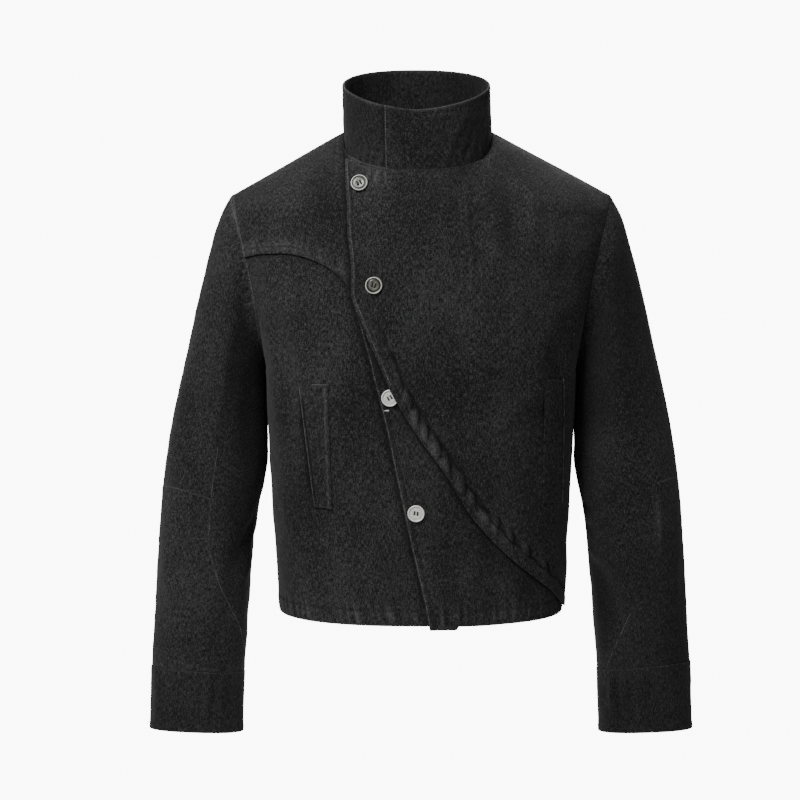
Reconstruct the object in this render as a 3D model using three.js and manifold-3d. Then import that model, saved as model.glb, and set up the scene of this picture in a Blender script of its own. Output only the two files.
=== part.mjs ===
// A cropped black denim jacket, filled out as if worn, with nothing inside it.
// Millimetres, +Z up. The front faces -Y and the wearer's left is +X.
// The origin is at the base of the neck, level with the tops of the shoulder seams.
// Each cut piece is a closed wall of cloth: a grid on the garment's surface with its thickness laid inwards.
import * as THREE from 'three';
import { mergeVertices } from 'three/addons/utils/BufferGeometryUtils.js';
import Module from 'manifold-3d';

const wasm = await Module();
wasm.setup();

// Thicknesses and gaps
const DENIM = 1.5; // one layer of denim
const COLLAR_WALL = 2.4; // a collar of two layers
const CUFF_WALL = 2.2; // a cuff of two layers
const SEAM_GAP = 0.3; // between two pieces that are sewn edge to edge
const ARMHOLE_GAP = 0.5; // on each side of the armhole seam
const LAP_STEP = 2.3; // a layer and the gap under it, the rise where one piece laps another
const NECK_GAP = 1.4; // how far the panels stop outside the collar

// Heights as shares of the body, 0 at the hem and 1 at the shoulder and neck seam
const BODY_HEIGHT = 505; // the hem up to the front of the neck seam
const UNDERARM = 0.545; // the bottom of the armhole
const ARMHOLE_MID = 0.8;
const NECK_SHARE = 0.33; // of the half width of a panel that ends at the neck, the rest ends at the shoulder

// The neck seam and the collar's rim, as half widths, depths and heights
const NECK = { midX: -3.5, x: 84.5, front: -95, back: 80, frontZ: -38, sideZ: 6, backZ: 12 };
const RIM = { midX: -5.5, x: 84, front: -80, back: 79, lowZ: 28, rise: 52 };
const NECK_POWER = 0.87; // under 1 squares the oval off a little
const SHOULDER_TIP = [218, 5, -67];

// The collar is a band that goes round from its free outer end to its hidden inner end, in degrees
const COLLAR_FROM = -22;
const COLLAR_TO = 365;
const COLLAR_FOOT = 1.0; // it starts this far above the neck seam
const COLLAR_OUT = 1.6; // the outer end stands this far out
const COLLAR_IN = 1.2; // and the inner end this far in

// Laps of the front
const FRONT_UNDERLAP = 40; // the right front goes this far under the left front
const FLAP_UNDERLAP = 38; // the lower pieces go this far up under the flaps
const FLAP_EASE = 45; // the step of a lap runs out over this length

// Buttons
const BUTTON = { radius: 9.5, base: 1.5, rim: 2.6, rimWidth: 1.7, hole: 1.0, holeAt: 2.0 };
const BUTTON_SEAT = 0.3; // a button sits this far off the cloth
const BUTTON_LIFT = 3.8; // the flap rises this much over the half hidden button

const CLOTH_LOOK = { color: 0x262729, roughness: 0.9, metalness: 0 };
const SMOKE_LOOK = { color: 0x77776f, roughness: 0.35, metalness: 0 };
const PEARL_LOOK = { color: 0xf0eee8, roughness: 0.3, metalness: 0 };

// Rows of half the front, edge to middle: share of height, the edge's x, y and z, the middle's y and z,
// how square the row is and the angle at which it leaves the edge
const FRONT_ROWS = [
  [0.0, 163.5, 0, -543, -127, -543, 2.4, 0],
  [0.165, 169, 0, -460, -133, -460, 2.45, 0],
  [0.35, 174, 0, -366, -138, -366, 2.6, 0],
  [0.545, 177, 0, -265, -139, -268, 2.9, 0],
  [0.553, 177.3, -15, -262, -139, -264, 2.88, 2.4],
  [0.58, 178.8, -33, -248, -138.5, -250, 2.82, 7],
  [0.63, 182, -51, -222, -138, -225, 2.65, 13.5],
  [0.7, 186.5, -59, -188, -136, -189.5, 2.4, 19],
  [0.8, 197, -52, -138, -130, -139, 2.2, 24],
  [0.9, 209.5, -29, -94, -118, -88, 2.1, 25],
  [0.95, 214.5, -11, -79, -107.5, -62, 2.1, 22],
];
const BACK_ROWS = [
  [0.0, 163.5, 0, -543, 112, -543, 2.4, 0],
  [0.165, 169, 0, -460, 114, -460, 2.45, 0],
  [0.35, 174, 0, -366, 120, -366, 2.6, 0],
  [0.545, 177, 0, -265, 129, -266, 2.9, 0],
  [0.553, 177.3, 16, -262, 129.3, -262, 2.88, 2.4],
  [0.58, 179, 36, -247, 130, -247, 2.82, 7],
  [0.63, 183, 57, -219, 131, -219, 2.65, 13.5],
  [0.7, 188.5, 67, -184, 131, -182, 2.4, 19],
  [0.8, 199, 62, -133, 126, -124, 2.2, 24],
  [0.9, 210.5, 41, -92, 112, -57, 2.1, 25],
  [0.95, 214.5, 22, -77, 99, -22, 2.1, 22],
];

// Lines on the front, as x and z
const PLACKET_LINE = [
  [-85, -31], [-82, -72], [-80, -115], [-77, -169], [-66.5, -213], [-55, -256.5],
  [-40, -317], [-29.5, -367], [-13, -444.5], [9, -543],
];
const FLAP_LINE = [
  [-85, -31], [-82, -72], [-80, -115], [-77, -169], [-65, -207], [-48, -248], [-28, -291],
  [-2, -333], [28, -375], [53, -417], [87, -457], [121, -488.5], [148, -514], [162, -537],
];
const CHEST_LINE = [
  [-197, -136], [-177, -132], [-150, -131], [-128, -135], [-106, -144], [-89, -156], [-76, -171], [-40, -184],
];
// The free top edge of the left front, from its corner to the end of the collar
const FLAP_TOP_LINE = [[-85, -31], [-61, -34.5], [-38, -37.5]];
// Pocket welts, corners at top left, top right, bottom right and bottom left
const RIGHT_WELT = [[-135, -273.5], [-102, -273], [-98.5, -412], [-118.5, -411]];
const LEFT_WELT = [[134, -269], [157, -271], [158, -412], [135, -408]];
// Button centres, top to bottom
const BUTTONS = [
  { name: 'button_1', x: -67.5, z: -57, look: SMOKE_LOOK },
  { name: 'button_2', x: -52, z: -165, look: SMOKE_LOOK },
  { name: 'button_3', x: -35, z: -287, look: PEARL_LOOK },
  { name: 'button_4', x: -6.4, z: -414.5, look: PEARL_LOOK },
];
const HIDDEN_BUTTON = BUTTONS[2];

// Sleeve rings below the armhole: distance down the outside, the outer point's x and z, the inner point's x and z,
// half the depth, the middle's y, the forward tilt and how square the ring is
const SLEEVE_RINGS = [
  [19, 228, -86, 177.9, -273, 65, 3, 0, 2.15],
  [62, 241, -128, 177.6, -291, 69, 2, 0, 2.2],
  [105, 252, -170, 177.2, -312, 72, 1, 0, 2.25],
  [157, 263.5, -221, 176.8, -338, 74, 0, 0, 2.3],
  [211, 275.5, -274, 177.0, -365, 74, -1, 0, 2.3],
  [262, 286.5, -325, 181, -393, 73, -3, 0.02, 2.3],
  [313, 294.5, -375, 187.5, -426, 71, -6, 0.04, 2.3],
  [363, 299.5, -425, 192.5, -461, 67, -10, 0.06, 2.3],
  [408, 302.5, -470, 195.5, -495, 63, -15, 0.08, 2.3],
  [458, 305, -520, 198, -533, 58, -22, 0.1, 2.3],
  [503, 307.3, -565, 200.5, -571, 51, -30, 0.1, 2.3],
  [549, 309.3, -611, 203, -611, 43, -38, 0.1, 2.3],
  [583, 310, -645, 204, -645.5, 39, -43, 0.1, 2.3],
  [615, 310.6, -675, 205, -679, 37, -47, 0.1, 2.3],
];
const CUFF_SEAM = 549;
const CUFF_END = 615;
const CUFF_PROUD = 0.8; // the cuff stands this far outside the sleeve
const UNDER_SEAM = 1.35; // the seam behind the arm, in half turns from the outside round the front
// The seam down the front of the sleeve: distance down the outside and half turns, and the two elbow seams:
// half turns and distance down
const SLEEVES = [
  {
    side: -1,
    name: 'right',
    seam: [[0, 0.43], [60, 0.47], [160, 0.5], [375, 0.5], [430, 0.58], [503, 0.85], [549, 0.985]],
    elbowTop: [[-0.65, 322], [0, 336], [0.5, 322]],
    elbowEnd: [[-0.65, 376], [0, 397], [0.5, 376]],
  },
  {
    side: 1,
    name: 'left',
    seam: [[0, 0.43], [60, 0.46], [160, 0.46], [320, 0.42], [400, 0.44], [470, 0.55], [520, 0.7], [549, 0.82]],
    elbowTop: [[-0.65, 314], [0, 326], [0.44, 318]],
    elbowEnd: [[-0.65, 368], [0, 380], [0.44, 374]],
  },
];
// Largest folds of a sleeve: middle as half turns and distance down, their spreads and depth, minus is inwards
const SLEEVE_FOLDS = [
  { at: 0.72, down: 170, round: 0.13, along: 110, depth: -7 },
  { at: 0.47, down: 150, round: 0.09, along: 120, depth: 3.5 },
  { at: 0.75, down: 420, round: 0.12, along: 60, depth: -3 },
  { at: 1.3, down: 190, round: 0.15, along: 110, depth: -5 },
];

const lerp = (a, b, t) => a + (b - a) * t;
const clamp = (t, low = 0, high = 1) => Math.min(high, Math.max(low, t));
const smooth = (t) => clamp(t) ** 2 * (3 - 2 * clamp(t));
const radians = (degrees) => (degrees * Math.PI) / 180;
const power = (t, p) => Math.sign(t) * Math.abs(t) ** p;
const add = (a, b, k = 1) => [a[0] + b[0] * k, a[1] + b[1] * k, a[2] + b[2] * k];
const mix = (a, b, t) => [lerp(a[0], b[0], t), lerp(a[1], b[1], t), lerp(a[2], b[2], t)];
const dot = (a, b) => a[0] * b[0] + a[1] * b[1] + a[2] * b[2];
const cross = (a, b) => [a[1] * b[2] - a[2] * b[1], a[2] * b[0] - a[0] * b[2], a[0] * b[1] - a[1] * b[0]];
const size = (a) => Math.hypot(...a);
const unit = (a) => add([0, 0, 0], a, 1 / (size(a) || 1));

// A smooth curve through points with rising xs that never overshoots them
function through(xs, ys, ends = {}) {
  const n = xs.length;
  const slopes = xs.slice(1).map((x, i) => (ys[i + 1] - ys[i]) / (x - xs[i]));
  const tangents = xs.map((_, i) => {
    if (i === 0) return ends.first ?? slopes[0];
    if (i === n - 1) return ends.last ?? slopes[n - 2];
    const before = slopes[i - 1];
    const after = slopes[i];
    if (before * after <= 0) return 0;
    const w1 = 2 * (xs[i + 1] - xs[i]) + xs[i] - xs[i - 1];
    const w2 = xs[i + 1] - xs[i] + 2 * (xs[i] - xs[i - 1]);
    return (w1 + w2) / (w1 / before + w2 / after);
  });
  return (x) => {
    if (x <= xs[0]) return ys[0] + (x - xs[0]) * tangents[0];
    if (x >= xs[n - 1]) return ys[n - 1] + (x - xs[n - 1]) * tangents[n - 1];
    let i = 0;
    while (x > xs[i + 1]) i += 1;
    const step = xs[i + 1] - xs[i];
    const t = (x - xs[i]) / step;
    return (
      ys[i] * (1 + 2 * t) * (1 - t) ** 2 +
      tangents[i] * step * t * (1 - t) ** 2 +
      ys[i + 1] * t * t * (3 - 2 * t) +
      tangents[i + 1] * step * t * t * (t - 1)
    );
  };
}

// The point at a share of the length of a curve, from a list of points along it
function alongOf(points) {
  const lengths = [0];
  points.slice(1).forEach((p, i) => lengths.push(lengths[i] + size(add(p, points[i], -1))));
  const whole = lengths[lengths.length - 1];
  return {
    whole,
    at(share) {
      const want = clamp(share) * whole;
      let i = 0;
      while (i < points.length - 2 && lengths[i + 1] < want) i += 1;
      return mix(points[i], points[i + 1], (want - lengths[i]) / (lengths[i + 1] - lengths[i]));
    },
  };
}

// The neck seam, by degrees from the middle of the front towards the wearer's left
function neckLine(degrees) {
  const c = Math.cos(radians(degrees));
  const s = Math.sin(radians(degrees));
  const y = c > 0 ? NECK.front * c ** NECK_POWER : NECK.back * Math.abs(c) ** NECK_POWER;
  const z = c > 0 ? lerp(NECK.sideZ, NECK.frontZ, c ** 0.6) : lerp(NECK.sideZ, NECK.backZ, Math.abs(c) ** 1.3);
  return [NECK.x * power(s, NECK_POWER), y, z];
}

function rimLine(degrees) {
  const c = Math.cos(radians(degrees));
  const s = Math.sin(radians(degrees));
  const y = c > 0 ? RIM.front * c ** NECK_POWER : RIM.back * Math.abs(c) ** NECK_POWER;
  const z = RIM.lowZ + RIM.rise * ((1 - c) / 2) ** 0.7;
  return [RIM.midX + RIM.x * power(s, NECK_POWER), y, z];
}

// Half a row of a body panel, from the middle to the edge
const ROW_STEPS = 48;
function halfRow([, ex, ey, ez, my, mz, square, leave]) {
  const p = 2 / square;
  const from = radians(leave);
  const points = [];
  for (let i = 0; i <= ROW_STEPS; i += 1) {
    const angle = lerp(Math.PI / 2, from, i / ROW_STEPS);
    const across = (Math.max(0, Math.cos(angle)) ** p) / Math.cos(from) ** p;
    const deep = (Math.sin(angle) ** p - Math.sin(from) ** p) / (1 - Math.sin(from) ** p);
    points.push([ex * across, lerp(ey, my, deep), lerp(mz, ez, across ** 2)]);
  }
  return alongOf(points);
}

// A side of the body: its surface by a, -1 to 1 across, and v, 0 to 1 up
function bodySide(rows, facing) {
  const curves = rows.map(halfRow);
  const vs = [...rows.map((row) => row[0]), 1];
  const columns = new Map();
  // beside the armhole the columns keep their way up, and only the last of them crowd together
  const whole = (v) => curves[rows.findIndex((row) => row[0] === v)].whole;
  function shareOf(k, share) {
    const v = rows[k][0];
    const free = clamp((v - UNDERARM) / (ARMHOLE_MID - UNDERARM));
    if (free === 0 || free === 1) return share;
    const wide = lerp(whole(UNDERARM), whole(ARMHOLE_MID), free);
    return (share * lerp(wide, curves[k].whole, share ** 5)) / curves[k].whole;
  }
  function topPoint(share) {
    if (share <= NECK_SHARE) {
      const turn = (90 * share) / NECK_SHARE;
      return neckLine(facing < 0 ? turn : 180 - turn);
    }
    return mix(neckLine(90), SHOULDER_TIP, (share - NECK_SHARE) / (1 - NECK_SHARE));
  }
  function column(share) {
    const key = share.toFixed(6);
    if (!columns.has(key)) {
      const points = [...curves.map((curve, k) => curve.at(shareOf(k, share))), topPoint(share)];
      const [below, top] = points.slice(-2);
      const step = 1 - vs[vs.length - 2];
      // the cloth comes to the shoulder seam more level than the straight line
      const level = smooth(share / NECK_SHARE);
      const arrive = [1, lerp(1, 1.35, level), lerp(1, 0.4, level)];
      columns.set(key, [0, 1, 2].map((k) => through(vs, points.map((q) => q[k]), {
        last: ((top[k] - below[k]) / step) * arrive[k],
      })));
    }
    return columns.get(key);
  }
  return (a, v) => {
    const [x, y, z] = column(Math.min(1, Math.abs(a)));
    const shift = NECK.midX * smooth((v - 0.85) / 0.15) * (1 - smooth((Math.abs(a) - NECK_SHARE) / 0.6));
    return [Math.sign(a) * x(v) + shift, y(v), z(v)];
  };
}
const front = bodySide(FRONT_ROWS, -1);
const back = bodySide(BACK_ROWS, 1);

const STEP = 0.004;
function bodyNormal(side, a, v) {
  const a1 = Math.min(a + STEP, 1);
  const a0 = Math.max(a - STEP, -1);
  const across = add(side(a1, v), side(a0, v), -1);
  const up = add(side(a, Math.min(v + STEP, 1)), side(a, Math.min(v + STEP, 1) - 2 * STEP), -1);
  return unit(cross(across, up).map((k) => (side === front ? k : -k)));
}
const rowLength = (side, v) => {
  const points = [0, 0.25, 0.5, 0.75, 1].map((a) => side(a, v));
  return points.slice(1).reduce((sum, p, i) => sum + size(add(p, points[i], -1)), 0);
};
const frontLength = through([0, 0.3, 0.545, 0.7, 0.9, 1], [0, 0.3, 0.545, 0.7, 0.9, 1].map((v) => rowLength(front, v)));

// The armhole, by half turns from the shoulder tip down the front, and up the back
const EDGE_STEPS = 40;
const edgeOf = (side) => alongOf(
  Array.from({ length: EDGE_STEPS + 1 }, (_, i) => side(1, lerp(1, UNDERARM, i / EDGE_STEPS))),
);
const frontEdge = edgeOf(front);
const backEdge = edgeOf(back);
const turnOf = (half) => ((half % 2) + 2) % 2;
function armhole(half) {
  const t = turnOf(half);
  return t <= 1 ? frontEdge.at(t) : backEdge.at(2 - t);
}

// A ring of the sleeve, by half turns from the outside round the front to the inside
function sleeveRing([, ox, oz, ix, iz, depth, midY, tilt, square]) {
  const p = 2 / square;
  const halves = [-1, 1].map((face) => alongOf(
    Array.from({ length: ROW_STEPS + 1 }, (_, i) => {
      const angle = (Math.PI * i) / ROW_STEPS;
      const c = power(Math.cos(angle), p);
      const y = face * depth * Math.sin(angle) ** p;
      return [(ox + ix) / 2 + ((ox - ix) / 2) * c, midY + y, (oz + iz) / 2 + ((oz - iz) / 2) * c - tilt * y];
    }),
  ));
  return (half) => {
    const t = turnOf(half);
    return t <= 1 ? halves[0].at(t) : halves[1].at(2 - t);
  };
}
const sleeveRings = SLEEVE_RINGS.map(sleeveRing);
const sleeveStations = [0, ...SLEEVE_RINGS.map((ring) => ring[0])];
const sleeveLines = new Map();
function plainSleeve(half, down) {
  const key = turnOf(half).toFixed(6);
  if (!sleeveLines.has(key)) {
    const points = [armhole(half), ...sleeveRings.map((ring) => ring(half))];
    sleeveLines.set(key, [0, 1, 2].map((k) => through(sleeveStations, points.map((q) => q[k]))));
  }
  return sleeveLines.get(key).map((f) => f(down));
}
function normalOf(surface, half, down) {
  const across = add(surface(half + 0.01, down), surface(half - 0.01, down), -1);
  const along = add(surface(half, down + 1), surface(half, Math.max(down - 1, 0)), -1);
  return unit(cross(across, along));
}
// The left sleeve with its largest folds
function sleeve(half, down) {
  const t = turnOf(half);
  const depth = SLEEVE_FOLDS.reduce((sum, fold) => {
    const round = (t - fold.at) / fold.round;
    const along = (down - fold.down) / fold.along;
    return sum + fold.depth * Math.exp(-(round ** 2) - along ** 2);
  }, 0);
  const fade = smooth((down - 5) / 60) * smooth((CUFF_SEAM - down) / 60);
  return add(plainSleeve(half, down), normalOf(plainSleeve, half, down), depth * fade);
}

// Where two pieces meet over a ridge they share the direction of their thickness
const shared = (own, other) => unit(add(own, other, clamp((dot(own, other) + 0.2) / 0.8)));
const armholeTurn = (side, v) => {
  const t = clamp((1 - v) / (1 - UNDERARM));
  const steps = Array.from({ length: 21 }, (_, i) => side(1, lerp(1, lerp(1, UNDERARM, t), i / 20)));
  const share = alongOf(steps).whole / (side === front ? frontEdge : backEdge).whole;
  return side === front ? share : 2 - share;
};
const armholeNormals = new Map();
function armholeNormal(side, v) {
  const key = `${side === front}${v.toFixed(4)}`;
  if (!armholeNormals.has(key)) {
    const own = bodyNormal(side, 1, v);
    armholeNormals.set(key, shared(own, normalOf(sleeve, armholeTurn(side, v), 0)));
  }
  return armholeNormals.get(key);
}
function panelNormal(side, a, v) {
  let n = bodyNormal(side, a, v);
  const edge = smooth((Math.abs(a) - 0.93) / 0.07);
  if (edge > 0 && v > UNDERARM) {
    const [x, y, z] = armholeNormal(side, v);
    n = unit(mix(n, [x * Math.sign(a), y, z], edge));
  }
  const top = smooth((v - 0.96) / 0.04) * smooth((Math.abs(a) - NECK_SHARE * 0.6) / (NECK_SHARE * 0.4));
  const neck = smooth((v - 0.96) / 0.04) * (1 - smooth((Math.abs(a) - NECK_SHARE * 0.6) / (NECK_SHARE * 0.3)));
  n = unit([n[0], n[1], n[2] * (1 - neck)]);
  if (top > 0) {
    const share = Math.max(Math.abs(a), NECK_SHARE + 0.01) * (a < 0 ? -1 : 1);
    n = unit(mix(n, unit(add(bodyNormal(front, share, 1), bodyNormal(back, share, 1))), top));
  }
  return n;
}
function sleeveNormal(half, down) {
  const own = normalOf(sleeve, half, down);
  const near = 1 - smooth(down / 30);
  if (near === 0) return own;
  const t = turnOf(half);
  const side = t <= 1 ? front : back;
  const share = t <= 1 ? t : 2 - t;
  let low = UNDERARM;
  let high = 1;
  for (let i = 0; i < 24; i += 1) {
    const v = (low + high) / 2;
    const there = armholeTurn(side, v);
    if ((side === front ? there : 2 - there) > share) low = v;
    else high = v;
  }
  return unit(mix(own, shared(own, bodyNormal(side, 1, (low + high) / 2)), near));
}

// The a and v of a point of the front given by x and z
function locate([x, z]) {
  let a = clamp(x / 180, -0.98, 0.98);
  let v = clamp((z + 543) / BODY_HEIGHT, 0.01, 0.99);
  const h = 1e-3;
  for (let i = 0; i < 60; i += 1) {
    const p = front(a, v);
    const pa = front(a + h, v);
    const pv = front(a, v + h);
    const [xa, za, xv, zv] = [pa[0] - p[0], pa[2] - p[2], pv[0] - p[0], pv[2] - p[2]].map((k) => k / h);
    const det = xa * zv - xv * za;
    a = clamp(a + clamp(((x - p[0]) * zv - xv * (z - p[2])) / det, -0.05, 0.05), -0.999, 0.999);
    v = clamp(v + clamp((xa * (z - p[2]) - za * (x - p[0])) / det, -0.05, 0.05), 0, 0.999);
  }
  return [a, v];
}
function edgeByHeight(line, foot) {
  const spots = line.map(locate).reverse();
  const points = foot ? [foot, ...spots] : spots;
  return through(points.map((q) => q[1]), points.map((q) => q[0]));
}
const placketEdge = edgeByHeight(PLACKET_LINE);
const flapEdge = edgeByHeight(FLAP_LINE, [1, 0.004]);
const flapTopSpots = [...FLAP_TOP_LINE.map(locate), [-0.04, 1]];
const flapTop = through(flapTopSpots.map((q) => q[0]), flapTopSpots.map((q) => q[1]), { last: 0 });
const chestSpots = CHEST_LINE.map(locate);
const chestEdge = through([-1, ...chestSpots.slice(1).map((q) => q[0])], chestSpots.map((q) => q[1]));
// The hidden edge of the right front, wider near the neck
const underEdge = (v) => placketEdge(v) + FRONT_UNDERLAP / frontLength(v) + 0.2 * smooth((v - 0.82) / 0.16);
// How much of a lap's step is left at a place
const underFlap = (a, v) => 1 - smooth(((a - underEdge(v)) * frontLength(v) - 8) / FLAP_EASE);
function flapLean(v) {
  const slope = ((flapEdge(v + 0.01) - flapEdge(v - 0.01)) / 0.02) * frontLength(v);
  return BODY_HEIGHT / Math.hypot(BODY_HEIGHT, slope);
}
function flapStep(a, v) {
  const inside = (a - flapEdge(v)) * frontLength(v) * flapLean(v);
  return Math.max(underFlap(a, v), 1 - smooth((inside - FLAP_UNDERLAP - 6) / FLAP_EASE));
}
const lowerFrontOut = (a, v) => LAP_STEP * underFlap(a, v);
function upperFrontOut(a, v) {
  const [x, , z] = front(a, v);
  const far = Math.hypot(x - HIDDEN_BUTTON.x, z - HIDDEN_BUTTON.z);
  const lift = BUTTON_LIFT * (1 - smooth((far - BUTTON.radius - 2) / 18));
  const atSide = 1 + 0.35 * smooth((a - 0.7) / 0.2) * smooth((0.3 - v) / 0.2);
  return LAP_STEP * (underFlap(a, v) + flapStep(a, v) * atSide) + lift;
}
const chestOut = (a, v) => {
  const above = (v - chestEdge(a)) * BODY_HEIGHT;
  return LAP_STEP * (1 - smooth((above - FLAP_UNDERLAP - 4) / FLAP_EASE));
};

// A closed wall from a grid: at(i, j) gives the surface point, its normal and how far out it stands
function wall(nu, nv, at, thickness, closed = false) {
  const nodes = [];
  for (let i = 0; i <= nu; i += 1) for (let j = 0; j <= nv; j += 1) nodes.push(at(i, j));
  const count = nodes.length;
  const points = [0, thickness].flatMap((depth) => nodes.map((q) => add(q.p, q.n, q.out - depth)));
  const id = (i, j, inner) => (closed ? i % nu : i) * (nv + 1) + j + (inner ? count : 0);
  const faces = [];
  const quad = (a, b, c, d) => faces.push(a, b, c, a, c, d);
  const apart = (a, b) => size(add(points[a], points[b], -1));
  for (let i = 0; i < nu; i += 1) {
    for (let j = 0; j < nv; j += 1) {
      // each quad is split along its shorter diagonal
      const ring = [id(i, j), id(i + 1, j), id(i + 1, j + 1), id(i, j + 1)];
      if (apart(ring[0], ring[2]) > apart(ring[1], ring[3])) ring.push(ring.shift());
      quad(...ring);
      quad(...ring.map((k) => k + count).reverse());
    }
    quad(id(i, 0), id(i, 0, 1), id(i + 1, 0, 1), id(i + 1, 0));
    quad(id(i, nv), id(i + 1, nv), id(i + 1, nv, 1), id(i, nv, 1));
  }
  if (!closed) {
    for (let j = 0; j < nv; j += 1) {
      quad(id(0, j), id(0, j + 1), id(0, j + 1, 1), id(0, j, 1));
      quad(id(nu, j), id(nu, j, 1), id(nu, j + 1, 1), id(nu, j + 1));
    }
  }
  let volume = 0;
  for (let f = 0; f < faces.length; f += 3) {
    const [a, b, c] = [points[faces[f]], points[faces[f + 1]], points[faces[f + 2]]];
    volume += dot(a, cross(b, c));
  }
  if (volume < 0) faces.reverse();
  const used = new Map();
  const index = faces.map((k) => {
    if (!used.has(k)) used.set(k, used.size);
    return used.get(k);
  });
  const geometry = new THREE.BufferGeometry();
  geometry.setAttribute('position', new THREE.Float32BufferAttribute([...used.keys()].flatMap((k) => points[k]), 3));
  geometry.setIndex(index);
  geometry.computeVertexNormals();
  return geometry;
}

// How far the outer end of the collar stands out, by degrees
const collarStandsOut = (degrees) => COLLAR_OUT * (1 - smooth((degrees - 12) / 45));

const group = new THREE.Group();
function piece(name, geometry, look = CLOTH_LOOK) {
  const mesh = new THREE.Mesh(geometry, new THREE.MeshStandardMaterial(look));
  mesh.name = name;
  group.add(mesh);
}

// A body point, moved aside near the neck so that the collar has room
function clearOfCollar(side, a, v) {
  const p = side(a, v);
  const near = smooth((v - 0.93) / 0.07) * (1 - smooth((Math.abs(a) - NECK_SHARE) / 0.06));
  const aside = unit([p[0] - NECK.midX, p[1], 0]);
  const gap = NECK_GAP + (side === front ? collarStandsOut((90 * a) / NECK_SHARE) : 0);
  return add(p, aside, gap * near);
}

// A body panel's grid: where(i, j) gives a and v, and out(a, v) how far it stands out.
// It stops short of the side, armhole and shoulder seams by half a gap, and outside the collar by more
function bodyPanel(side, nu, nv, where, out = () => 0) {
  return wall(nu, nv, (i, j) => {
    let [a, v] = where(i, j);
    const side1 = 1 - (v > UNDERARM ? ARMHOLE_GAP : SEAM_GAP / 2) / frontLength(clamp(v));
    a = clamp(a, -side1, side1);
    const steep = size(add(side(a, 1), side(a, 0.99), -1)) / 0.01;
    v = Math.min(v, 1 - SEAM_GAP / 2 / steep);
    return { p: clearOfCollar(side, a, v), n: panelNormal(side, a, v), out: out(a, v) };
  }, DENIM);
}
const heights = [
  0, 0.08, 0.165, 0.26, 0.35, 0.45, 0.545, 0.56, 0.585, 0.62, 0.66, 0.7, 0.74, 0.78, 0.82, 0.86, 0.9, 0.925, 0.95, 0.975, 1,
];
const shares = [0, 0.1, 0.18, 0.25, 0.3, NECK_SHARE, 0.47, 0.61, 0.75, 0.87, 0.95, 1];
const backAcross = [...shares.slice(1).reverse().map((a) => -a), ...shares];

piece('back_panel', bodyPanel(back, backAcross.length - 1, heights.length - 1, (i, j) => [backAcross[i], heights[j]]));

// Right front below the chest seam, lapped by the chest piece and by the left front
const rightShares = [0, 0.06, 0.14, 0.25, 0.38, 0.51, 0.63, 0.66, 0.71, 0.78, 0.85, 0.92, 1];
const RIGHT_NECK = 0.63; // this share ends at the corner of the neck
const neckAt = (1 - NECK_SHARE) / (1 + underEdge(1));
const rightAcross = rightShares.map((s) => (
  s <= RIGHT_NECK ? (s / RIGHT_NECK) * neckAt : lerp(neckAt, 1, (s - RIGHT_NECK) / (1 - RIGHT_NECK))
));
const across = (s, v) => lerp(-1, underEdge(v), s);
const RIGHT_ROWS = 15;
const RIGHT_EVEN = 0.7; // above this height the rows spread up to the hidden top edge
piece('right_front', bodyPanel(front, rightAcross.length - 1, RIGHT_ROWS, (i, j) => {
  const s = rightAcross[i];
  const low = heights[j];
  const end = chestEdge(across(s, chestEdge(across(s, 0.75)))) + FLAP_UNDERLAP / BODY_HEIGHT;
  const spread = (low - RIGHT_EVEN) / (heights[RIGHT_ROWS] - RIGHT_EVEN);
  const v = low <= RIGHT_EVEN ? low : lerp(RIGHT_EVEN, end, spread);
  return [across(s, v), v];
}));

// Right chest piece, from the curved chest seam up to the shoulder and neck
const CHEST_ROWS = 8;
piece('right_chest', bodyPanel(front, rightAcross.length - 1, CHEST_ROWS, (i, j) => {
  let v = 0.8;
  for (let k = 0; k < 6; k += 1) {
    const start = chestEdge(across(rightAcross[i], v));
    v = lerp(start, 1, j / CHEST_ROWS);
  }
  return [across(rightAcross[i], v), v];
}, chestOut));

// Left front, lower piece, with the button band along its free edge; the band's end hangs a little low
const BAND_WIDTH = 30;
const BAND_DROP = 4;
const bandShares = [0, 0.5, 1];
const LOWER_TOP = 0.7;
const lowerUp = [0, 0.045, 0.085, 0.13, 0.19, 0.25, 0.31, 0.37, 0.43, 0.49, 0.55, 0.6, 0.65, LOWER_TOP];
const LOWER_ACROSS = 12;
piece('left_front_lower', bodyPanel(front, LOWER_ACROSS, lowerUp.length - 1, (i, j) => {
  const v = lowerUp[j];
  const left = placketEdge(v);
  const right = Math.min(1, flapEdge(v) + FLAP_UNDERLAP / (frontLength(v) * flapLean(v)));
  const band = Math.min((right - left) * 0.5, BAND_WIDTH / frontLength(v));
  const a = i < bandShares.length ? left + band * bandShares[i] : lerp(left + band, right, (i - 2) / (LOWER_ACROSS - 2));
  const low = i < bandShares.length ? (BAND_DROP / BODY_HEIGHT) * (1 - v / 0.045) : 0;
  return [a, v < 0.045 ? v - low : v];
}, lowerFrontOut));

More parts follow.
